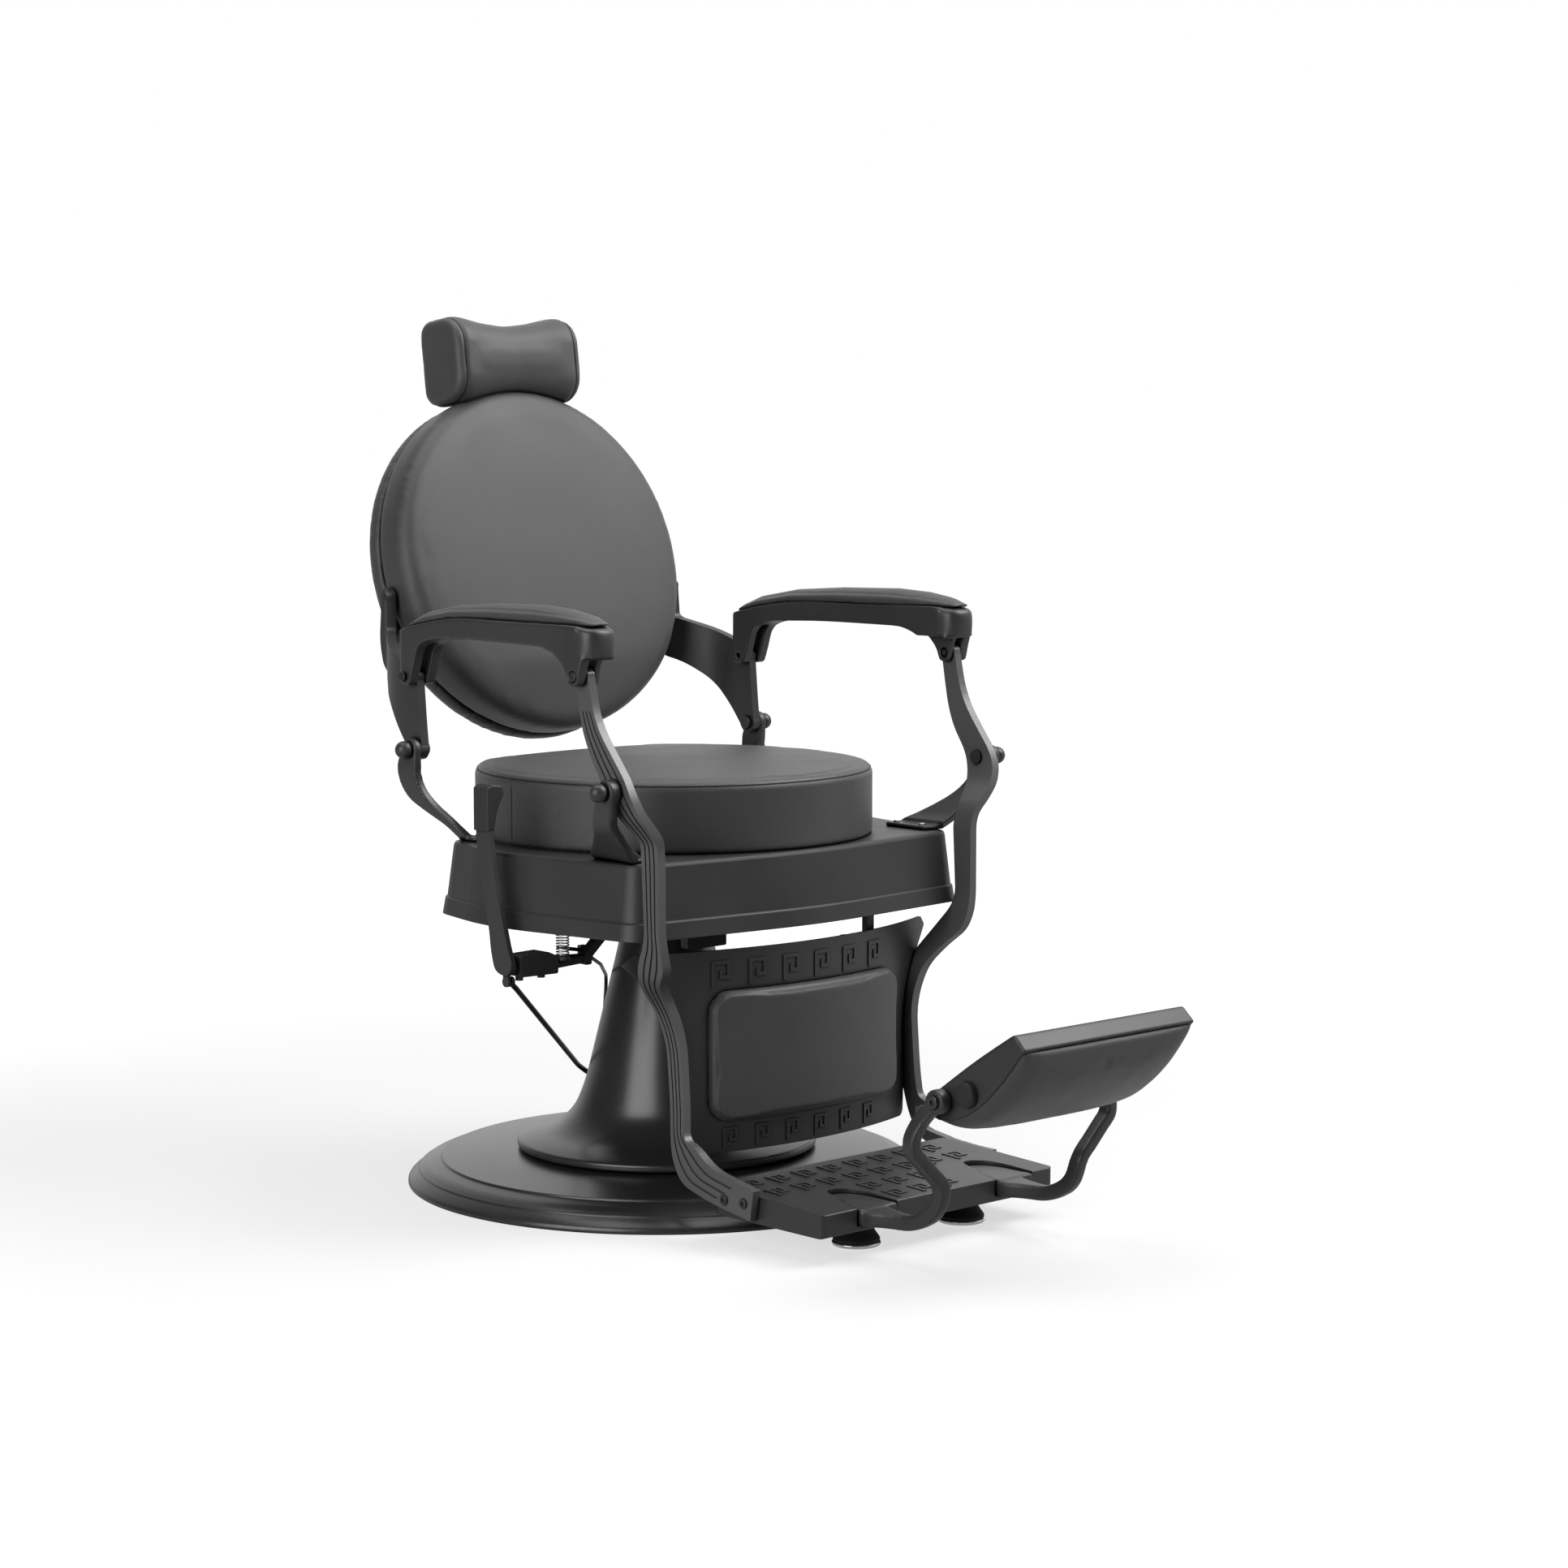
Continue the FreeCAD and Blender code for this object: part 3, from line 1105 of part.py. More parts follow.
def rest_arm_sweep():
    """S-shaped part of a footrest arm at +X: level at the footplate, upright, then back to the eye."""
    y, z = REST_PIVOT
    upper = -625
    inner_line = [(FOOTPLATE_FRONT + 6, 60), (-584, 61.5), (-615, 78), (upper, 104), (upper, z - 27),
                  (y + 6, z + 9)]
    side = prism("x", band(inner_line, REST_ARM_DEPTH), 60, 220)
    half = REST_ARM_WIDTH / 2
    root = ARM_ROOT_CENTRE
    front = FOOTPLATE_FRONT
    wide = ARM_ROOT_WIDTH / 2
    plan = [(root - wide, front + 6, 0), (root - wide, front - 12), (root - half, front - 50), (root - half, -660, 0),
            (root + half, -660, 0), (root + half, front - 50), (root + wide, front - 12), (root + wide, front + 6, 0)]
    lower = side.common(prism("z", plan, 20, 88))
    outer = REST_HUB_OUTER
    rise = [(root + half, 80), (root + half, 102), (outer + 12, 152), (outer + 12, z - 46), (outer, z - 16),
            (outer, z + 20)]
    upper_part = side.common(prism("y", band(rise, REST_ARM_WIDTH), -720, -560))
    eye = rod_x(REST_HUB_RADIUS, REST_HUB_INNER, REST_HUB_OUTER, REST_PIVOT)
    return join([lower, upper_part, eye])


def rest_arm(side):
    """One footrest arm, at -X (side -1) or +X (side 1); both roots face the same way."""
    sweep = rest_arm_sweep()
    start = POCKET_STARTS[0] if side < 0 else POCKET_STARTS[1]
    if side < 0:
        sweep = mirrored(sweep)
    arm = join([sweep, rest_root(start)])
    way = rod_x(REST_PIN_RADIUS + RUN_FIT, -200, 200, REST_PIVOT)
    return arm.cut(way)


def rest_point(along, below):
    """A point of the pad's side profile as (y, z): along its back from the foot, and below its back."""
    angle = math.radians(REST_ANGLE)
    a = along - REST_PIVOT_ALONG
    b = below - REST_PIVOT_BELOW
    y = REST_PIVOT[0] - a * math.cos(angle) - b * math.sin(angle)
    z = REST_PIVOT[1] + a * math.sin(angle) - b * math.cos(angle)
    return y, z


def rest_profile(points):
    """Side outline of the pad in the frame of the chair."""
    return [rest_point(point[0], point[1]) + tuple(point[2:]) for point in points]


def footrest_tray():
    """Metal tray of the footrest, with a flat back, a top wall and deep rounded sides."""
    outer = [(-5, 2, 5), (90, -3), (164, -2.5, 4), (170.5, 22.5, 0), (158, 25.5), (123, 37), (86, 46), (50, 48.5),
             (16, 42.5), (-6, 29), (-11, 14)]
    inner = [(0, 5.5, 4), (90, 0.5), (161, 1, 3), (168, 40, 0), (168, 80, 0), (-40, 80, 0), (-40, 40, 0),
             (-4, 26, 0), (-7, 15)]
    shell = prism("x", rest_profile(outer), -REST_HALF_WIDTH, REST_HALF_WIDTH)
    hollow = prism("x", rest_profile(inner), -REST_HALF_WIDTH + REST_SHEET, REST_HALF_WIDTH - REST_SHEET)
    screw_way = rod_x(REST_PIN_RADIUS + RUN_FIT, -REST_HALF_WIDTH - 1, REST_HALF_WIDTH + 1, REST_PIVOT)
    return shell.cut([hollow, screw_way])


def rest_section(x, bulge):
    """Section of the footrest cushion across X."""
    points = [(1, 6, 3), (90, 1), (160.5, 1.5, 3), (166.5, 22.5 + bulge * 0.45, 6), (155, 27 + bulge * 0.9),
              (123, 37 + bulge * 1.15), (86, 46 + bulge * 1.05), (50, 48.5 + bulge), (16, 42.5 + bulge * 0.95),
              (-3, 28 + bulge * 0.4), (-6, 16)]
    return outline("x", rest_profile(points), x)


def footrest_cushion():
    """Cushion in the tray, crowned along and across."""
    edge = REST_HALF_WIDTH - REST_SHEET
    half = [(edge, 0), (edge - 3, 5), (edge - 10, 9.5), (edge - 24, 13), (edge - 50, 15.3), (edge - 90, 16.4)]
    stations = [(-x, bulge) for x, bulge in half] + [(x, bulge) for x, bulge in reversed(half)]
    pad = Part.makeLoft([rest_section(x, bulge) for x, bulge in stations], True, True)
    return pad.cut(footrest_tray())


def footrest_screws():
    """Two shoulder screws on which the footrest turns, with socket heads outside the eyes."""
    wall = REST_HALF_WIDTH - REST_SHEET
    shank = rod_x(REST_PIN_RADIUS, wall, REST_HUB_OUTER + 1, REST_PIVOT)
    head = soften(rod_x(8, REST_HUB_OUTER + 0.4, REST_HUB_OUTER + 3.4, REST_PIVOT), 1,
                  on_level("x", (REST_HUB_OUTER + 3.4,)))
    screw = join([shank, head]).cut(rod_x(3.2, REST_HUB_OUTER + 1, REST_HUB_OUTER + 4, REST_PIVOT))
    return Part.makeCompound([screw, mirrored(screw)])


def footrest_stops():
    """Two dark rubber stops on the tray's sides."""
    face = REST_HALF_WIDTH
    stop = rod_x(REST_STOP_RADIUS, face, face + 9, rest_point(*REST_STOP))
    stop = soften(stop, 4, on_level("x", (face + 9,)))
    return Part.makeCompound([stop, mirrored(stop)])


# Hand lever and pump rod, at -X

def lever_blade():
    """Flat blade of the hand lever, with a small lug at its foot for the rod's pin."""
    y, z = LEVER_AXIS
    points = [(-38, 524, 0), (-37, 486), (-48, 430), (-62, 374), (-65, 348), (-72, z - 3), (y + 4, z - 9),
              (y - 12, z - 7), (-107, 336), (-99, 352), (-87, 392), (-74, 436), (-64, 492), (-61, 524, 0)]
    face = LEVER_OUTER
    blade = prism("x", points, face, face + LEVER_BLADE)
    lug = rod_x(6.5, face + LEVER_BLADE - 4, face + LEVER_BLADE, LEVER_PIN)
    neck = box((face + LEVER_BLADE - 4, face + LEVER_BLADE), (LEVER_PIN[0] - 5, LEVER_PIN[0] + 5),
               (LEVER_PIN[1], z - 8))
    pin = rod_x(LEVER_PIN_RADIUS, face + LEVER_BLADE - 1, HUB_START - 1, LEVER_PIN)
    return join([blade, lug, neck, pin])


def lever_grip():
    """Teardrop grip on the blade's head, wide at the top and tapering down."""
    face = LEVER_OUTER
    points = [(face - 2, 498, 0), (face - 2, GRIP_TOP - 4, 4), (face + 6, GRIP_TOP, 4), (face + 22, GRIP_TOP - 2, 6),
              (face + 25, GRIP_TOP - 12, 5), (face + 14, 524), (face + 9, 498, 0)]
    body = prism("y", points, -64, -34)
    body = soften(body, 2.5, on_level("y", (-64, -34)))
    return body.cut(lever_blade())


def lever_bolts():
    """Two bolts whose heads show under the hub block."""
    y, z = LEVER_AXIS
    return [rod_z(5, z - 17, z - 8, (x, y)) for x in (HUB_START + 9, HUB_END - 16)]


def lever_hub():
    """Hub block and tapered sleeve that turn on the shaft, with the seat of the spring."""
    y, z = LEVER_AXIS
    block = [(HUB_START, z + 16, 3), (HUB_END - 16, z + 17, 8), (HUB_END, z + 10, 6), (HUB_END, z - 12, 3),
             (HUB_START, z - 11, 3)]
    body = prism("y", block, y - 15, y + 13)
    boss = rod_x(9.5, LEVER_OUTER + LEVER_BLADE, HUB_START, LEVER_AXIS)
    sleeve = Part.makeCone(9, 6.5, SLEEVE_END - HUB_END + 4, vec(HUB_END - 4, y, z), AXIS_X)
    spring_x, spring_y = SPRING_PLACE
    seat = rod_z(SPRING_RADIUS + 2, SPRING_SEAT - 4, SPRING_SEAT, SPRING_PLACE)
    neck = box((spring_x - 4, spring_x + 4), (spring_y, y), (z, SPRING_SEAT))
    hub = join([body, boss, sleeve, seat, neck] + lever_bolts())
    return hub.cut(rod_x(LEVER_SHAFT_RADIUS + RUN_FIT, HUB_START - 6, SLEEVE_END, LEVER_AXIS))


def lever_hanger():
    """Slanted bar under the front channel, with the fixed shaft on which the lever turns."""
    y, z = LEVER_AXIS
    beam = COLUMN_TOP + MOUNT_PLATE_THICKNESS
    start = SLEEVE_END + FACE_GAP
    bar = prism("y", [(start, z - 8, 3), (start, z + 4), (start + 54, beam, 0), (start + 84, beam, 0),
                      (start + 84, beam - 5, 2), (start + 64, beam - 5), (start + 12, z + 1), (start + 12, z - 8, 3)],
                y - 7, y + 7)
    shaft = rod_x(LEVER_SHAFT_RADIUS, HUB_START - 4, SLEEVE_END + HANGER_WIDTH + 2, LEVER_AXIS)
    return join([bar, shaft])


def spring_points():
    """Points and directions of the spring's wire, every eighth of a turn."""
    top = COLUMN_TOP + MOUNT_PLATE_THICKNESS - SPRING_WIRE
    bottom = SPRING_SEAT + SPRING_WIRE
    steps = SPRING_TURNS * 4
    rise = (top - bottom) / steps
    points = []
    directions = []
    for i in range(steps + 1):
        angle = math.radians(90 * i)
        points.append(vec(SPRING_PLACE[0] + SPRING_RADIUS * math.cos(angle),
                          SPRING_PLACE[1] + SPRING_RADIUS * math.sin(angle), bottom + rise * i))
        pitch = rise * 4 / (2 * math.pi)
        directions.append(vec(-SPRING_RADIUS * math.sin(angle), SPRING_RADIUS * math.cos(angle), pitch).normalize())
    return points, directions


def lever_spring():
    """Return spring between the hub and the beam, one unbroken wire."""
    points, directions = spring_points()
    path = arc_chain(points, directions)
    circle = Part.Wire(Part.makeCircle(SPRING_WIRE, points[0], directions[0]))
    pitch = (points[4] - points[0]).Length
    samples = path.discretize(Number=SPRING_TURNS * 24)
    least = min((samples[i] - samples[j]).Length for i in range(len(samples)) for j in range(i + 12, len(samples)))
    print("spring: least gap to itself", round(least - 2 * SPRING_WIRE, 2), "mm, pitch", round(pitch, 2))
    return path.makePipeShell([circle], True, False)


def pump_rod():
    """Long rod from the lever's foot, behind the bell and in to the plunger."""
    y, z = LEVER_PIN
    eye_x = (LEVER_OUTER + LEVER_BLADE + HUB_START) / 2
    rod = pipe([(eye_x, y + 2, z - 1), (-318, -78, 299), (0, 176, 118.6), (0, PLUNGER_END - 6, 97)], ROD_RADIUS,
               [0, 30, 24, 0])
    eye = rod_x(6.5, eye_x - 2, eye_x + 2, LEVER_PIN)
    plunger = rod_y(PLUNGER_RADIUS, PLUNGER_START, PLUNGER_END, (0, PUMP_AXIS_HEIGHT))
    slot = rod_x(LEVER_PIN_RADIUS + LEVER_PIN_PLAY, eye_x - 8, HUB_START - 0.4, LEVER_PIN)
    return join([rod, eye, plunger]).cut(slot)


def release_rod():
    """Thin rod from the hanger, behind the bell and down to the pump's valve, with its clip."""
    rod = pipe([(-256, -86, 345), (-214, -80, 337), (-79, 42, 290), (0, 124, 256), (0, 136, 126), (0, 54, 106)],
               THIN_ROD_RADIUS, [0, 30, 120, 30, 14, 0])
    clip = box((-216, -206), (-83, -76), (331, 343))
    return join([rod, clip])


def valve_block():
    """Valve block in front of the column's head."""
    points = [(-34, 318, 3), (34, 318, 3), (34, COLUMN_TOP, 0), (-34, COLUMN_TOP, 0)]
    return prism("y", points, -82, -68)


def leg_stop():
    """Bar under the tray with a buffer against which the leg panel rests."""
    x, y, z = 132, -254, 322
    bar = box((x - 6, x + 6), (y, y + 10), (z - 8, TRAY_TOP - TRAY_WALL))
    reach = PANEL_FRONT_Y + PANEL_RADIUS - math.sqrt((PANEL_RADIUS - PANEL_THICKNESS) ** 2 - x ** 2)
    return join([bar, rod_y(5, reach + 4 * FACE_GAP, y, (x, z))])


# Recline lock, at +X

def lock_frame(along, across):
    """A point of the lock's own line as (y, z): along it towards the front, and across it upwards."""
    angle = math.radians(LOCK_RISE)
    y, z = LOCK_EYE
    return (y - along * math.cos(angle) + across * math.sin(angle),
            z + along * math.sin(angle) + across * math.cos(angle))


def lock_bar(radius, start, end):
    """Round bar along the lock's line."""
    y0, z0 = lock_frame(start, 0)
    y1, z1 = lock_frame(end, 0)
    low = vec(LOCK_X, y0, z0)
    high = vec(LOCK_X, y1, z1)
    return Part.makeCylinder(radius, (high - low).Length, low, high - low)


def lock_cylinder():
    """Barrel of the recline lock, with the rear eye."""
    rear = -(LOCK_REAR_Y - LOCK_EYE[0])
    barrel = lock_bar(LOCK_RADIUS, rear + 14, rear + 14 + LOCK_LENGTH)
    bore = lock_bar(LOCK_ROD_RADIUS + RUN_FIT, rear + 24, rear + 15 + LOCK_LENGTH)
    eye = rod_x(9, LOCK_X - 6, LOCK_X + 6, lock_frame(rear, 0))
    neck = lock_bar(5, rear, rear + 20)
    return join([barrel, eye, neck]).cut([bore, rod_x(LOCK_PIN_RADIUS, 50, 150, lock_frame(rear, 0))])


def lock_lug():
    """Lug under the mount plate, with the pin that holds the barrel."""
    rear = -(LOCK_REAR_Y - LOCK_EYE[0])
    y, z = lock_frame(rear, 0)
    cheeks = []
    for low in (LOCK_X - 12, LOCK_X + 6.5):
        points = [(y - 11, z - 10, 8), (y + 11, z - 10, 8), (y + 20, COLUMN_TOP, 0), (y - 20, COLUMN_TOP, 0)]
        cheeks.append(prism("x", points, low, low + 5.5))
    pin = rod_x(LOCK_PIN_RADIUS, LOCK_X - 13, LOCK_X + 13, (y, z))
    return join(cheeks + [pin])


def lock_rod():
    """Rod of the recline lock, with its pin in the panel's slotted lug."""
    bar = lock_bar(LOCK_ROD_RADIUS, LOCK_ROD_REAR, 0)
    eye = rod_x(8, LOCK_X - LOCK_EYE_HALF, LOCK_X + LOCK_EYE_HALF, lock_frame(0, 0))
    pin = rod_x(LOCK_PIN_RADIUS, LOCK_X - 14, LOCK_X + 14, lock_frame(0, 0))
    return join([bar, eye, pin])


def panel_lug():
    """Slotted lug on the panel's back that the lock pushes."""
    cheeks = []
    y, z = lock_frame(0, 0)
    reach = LOCK_SLOT_REACH
    half = LOCK_PIN_RADIUS + 1.1
    for low in (LOCK_X - 12, LOCK_X + 6):
        points = [(y - 40, z - 14, 0), (y + 4, z - 16, 6), (y + 10, z, 6), (y + 8, z + 22, 6), (y - 40, z + 22, 0)]
        cheek = prism("x", points, low, low + 6)
        cheek = cheek.cut(rod_z(PANEL_RADIUS - PANEL_THICKNESS + 60, 50, 410,
                                (0, PANEL_FRONT_Y + PANEL_RADIUS)).cut(
            rod_z(PANEL_RADIUS - PANEL_THICKNESS, 50, 410, (0, PANEL_FRONT_Y + PANEL_RADIUS))))
        slot_points = [(-half, -half, half), (half, -half, half), (half, half + 2 * reach, half),
                       (-half, half + 2 * reach, half)]
        slot = prism("x", slot_points, low - 1, low + 7)
        slot.rotate(CENTRE, AXIS_X, LOCK_SLOT_TURN)
        slot.translate(vec(0, y, z))
        cheeks.append(cheek.cut(slot))
    return cheeks


def arm_rear_pins():
    """Pins that are fixed in the back brackets' tongues and carry the armrests."""
    pin = rod_x(ARM_PIN_RADIUS, 276, 318, ARM_REAR_PIVOT)
    return Part.makeCompound([pin, mirrored(pin)])


def arm_front_pins():
    """Pins that are fixed in the struts' eyes under the armrests' front ears."""
    pin = rod_x(ARM_PIN_RADIUS, 304, 338, ARM_FRONT_PIVOT)
    return Part.makeCompound([pin, mirrored(pin)])


def both(build):
    """A piece and its mirror image as one node."""
    shape = build()
    return Part.makeCompound([shape, mirrored(shape)])


PARTS = {
    "base_disc": base_disc,
    "base_plate": base_plate,
    "swivel_post": swivel_post,
    "swivel_bearing": swivel_bearing,
    "bell_cover": bell_cover,
    "bell_foot": bell_foot,
    "column_bush": column_bush,
    "hydraulic_ram": hydraulic_ram,
    "lift_column": lift_column,
    "column_gland": column_gland,
    "pump_block": pump_block,
    "pump_rod": pump_rod,
    "seat_subframe": seat_subframe,
    "seat_tray": seat_tray,
    "seat_board": seat_board,
    "seat_cushion": seat_cushion,
    "front_seat_brackets": lambda: both(front_bracket),
    "rear_seat_brackets": lambda: both(rear_bracket),
    "front_pivot_pins": front_pins,
    "rear_pivot_pins": rear_pins,
    "bracket_screws": bracket_screws,
    "back_cushion": back_cushion,
    "back_shell": back_shell,
    "headrest_socket": head_socket,
    "back_bracket_left": back_bracket,
    "back_bracket_right": lambda: mirrored(back_bracket()),
    "back_screws": back_screws,
    "headrest_cushion": head_cushion,
    "headrest_stem": head_stem,
    "armrest_casting_left": arm_casting,
    "armrest_casting_right": lambda: mirrored(arm_casting()),
    "armrest_pad_left": arm_pad,
    "armrest_pad_right": lambda: mirrored(arm_pad()),
    "armrest_rear_pins": arm_rear_pins,
    "armrest_front_pins": arm_front_pins,
    "front_strut_left": left_strut,
    "front_strut_right": lambda: mirrored(front_strut()),
    "leg_panel": leg_panel,
    "leg_crossbars": leg_crossbars,
    "calf_cushion": calf_cushion,
    "footplate": footplate,
    "strut_bolts": strut_bolts,
    "glide_cones": glide_cones,
    "glide_rings": glide_rings,
    "footrest_arm_left": lambda: rest_arm(1),
    "footrest_arm_right": lambda: rest_arm(-1),
    "footrest_tray": footrest_tray,
    "footrest_cushion": footrest_cushion,
    "footrest_screws": footrest_screws,
    "footrest_stops": footrest_stops,
    "side_lever": lever_blade,
    "lever_grip": lever_grip,
    "lever_hub": lever_hub,
    "lever_hanger": lever_hanger,
    "lever_spring": lever_spring,
    "release_rod": release_rod,
    "valve_block": valve_block,
    "lock_cylinder": lock_cylinder,
    "lock_rod": lock_rod,
    "leg_stop": leg_stop,
}


def main():
    """Builds every piece and writes one file for each."""
    os.makedirs("parts", exist_ok=True)
    for name, build in PARTS.items():
        shape = build()
        print(name, len(shape.Solids), shape.isValid(), round(shape.Volume / 1000, 1))
        shape.exportStep("parts/" + name + ".step")


main()
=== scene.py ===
import json
import logging
import math
from dataclasses import dataclass
from enum import Enum
from typing import Iterable, Optional, Sequence

import bmesh
import bpy
from mathutils import Matrix, Vector
from mathutils.bvhtree import BVHTree


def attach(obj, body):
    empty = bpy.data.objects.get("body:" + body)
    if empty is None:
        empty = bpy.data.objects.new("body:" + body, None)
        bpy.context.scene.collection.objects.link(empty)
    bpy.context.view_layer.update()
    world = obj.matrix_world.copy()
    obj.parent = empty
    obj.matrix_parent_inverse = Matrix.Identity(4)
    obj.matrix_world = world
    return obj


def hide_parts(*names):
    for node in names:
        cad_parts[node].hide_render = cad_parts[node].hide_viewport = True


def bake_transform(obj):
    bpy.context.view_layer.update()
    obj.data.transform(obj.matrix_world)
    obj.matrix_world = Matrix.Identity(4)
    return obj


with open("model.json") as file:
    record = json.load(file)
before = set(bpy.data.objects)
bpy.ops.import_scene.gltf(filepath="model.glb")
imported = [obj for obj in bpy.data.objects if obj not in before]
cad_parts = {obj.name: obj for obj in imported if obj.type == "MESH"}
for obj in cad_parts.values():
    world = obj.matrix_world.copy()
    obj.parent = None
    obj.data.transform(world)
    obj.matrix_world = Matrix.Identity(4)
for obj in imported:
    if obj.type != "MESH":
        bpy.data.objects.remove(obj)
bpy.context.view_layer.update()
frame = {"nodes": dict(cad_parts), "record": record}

log = logging.getLogger("barber_chair")

Colour = tuple[float, float, float]
Point = tuple[float, float, float]
Span = tuple[float, float]
Socket = bpy.types.NodeSocket
Piece = bpy.types.Object

WHITE = (1.0, 1.0, 1.0, 1.0)

# Sockets of the Mix node, by number because their names repeat
MIX_FACTOR = 0
MIX_DARK, MIX_LIGHT, MIX_COLOUR = 6, 7, 2
MIX_LOW, MIX_HIGH, MIX_VALUE = 2, 3, 0

# Ranges of raw values from which a finish reads its patches, its grain and the painted shade of its corners
PATCHES: Span = (0.3, 0.7)
WIDE_PATCHES: Span = (0.25, 0.75)
PEBBLE_WALLS: Span = (0.0, 0.16)
SHUT_TO_OPEN: Span = (0.5, 0.92)


class Slot(Enum):
    """Material slots of the record, one for each kind of surface on the chair."""

    GLOSS_ENAMEL = "gloss_enamel"
    SATIN_CASTING = "satin_casting"
    SHEET_METAL = "sheet_metal"
    LEATHERETTE = "leatherette"
    CHROME_RING = "chrome_ring"
    BRIGHT_STEEL = "bright_steel"
    DARK_STEEL = "dark_steel"
    MACHINED_STEEL = "machined_steel"
    BRONZE = "bronze"
    BLACK_RUBBER = "black_rubber"
    PLYWOOD = "plywood"
    GRIP_PLASTIC = "grip_plastic"


class Side(Enum):
    """The sitter's two sides, as the sign of X."""

    LEFT = 1
    RIGHT = -1

    @property
    def word(self) -> str:
        """Name of the side as it stands in the names of pieces."""
        return "left" if self is Side.LEFT else "right"


# Finishes

class Wiring:
    """A node tree while it is being written."""

    def __init__(self, owner: bpy.types.ID) -> None:
        """Start an empty tree.

        Args:
            owner: The material or world that it belongs to.
        """
        owner.use_nodes = True
        self.tree = owner.node_tree
        self.tree.nodes.clear()

    def add(self, kind: str, **settings: object) -> bpy.types.Node:
        """Add a node.

        Args:
            kind: Blender's name of the node type.
            settings: Properties to set on it.

        Returns:
            The new node.
        """
        node = self.tree.nodes.new(kind)
        for key, value in settings.items():
            setattr(node, key, value)
        return node

    def join(self, out: Socket, into: Socket) -> None:
        """Link two sockets."""
        self.tree.links.new(out, into)

    def pair(self, operation: str, first: Socket, second: Socket) -> Socket:
        """Make one value of two.

        Args:
            operation: Blender's name of the arithmetic.
            first: One value.
            second: The other value.

        Returns:
            The result's socket.
        """
        node = self.add("ShaderNodeMath", operation=operation)
        self.join(first, node.inputs[0])
        self.join(second, node.inputs[1])
        return node.outputs[0]

    def span(self, value: Socket, low: float, high: float, source: Span = (0.0, 1.0),
             curve: str = "LINEAR") -> Socket:
        """Map a value from one range to another.

        Args:
            value: Socket to map.
            low: Result at the source's low end.
            high: Result at the source's high end.
            source: Range of the incoming value.
            curve: Blender's name of the way between the ends.

        Returns:
            The mapped socket.
        """
        node = self.add("ShaderNodeMapRange", interpolation_type=curve)
        node.inputs["From Min"].default_value = source[0]
        node.inputs["From Max"].default_value = source[1]
        node.inputs["To Min"].default_value = low
        node.inputs["To Max"].default_value = high
        self.join(value, node.inputs["Value"])
        return node.outputs["Result"]


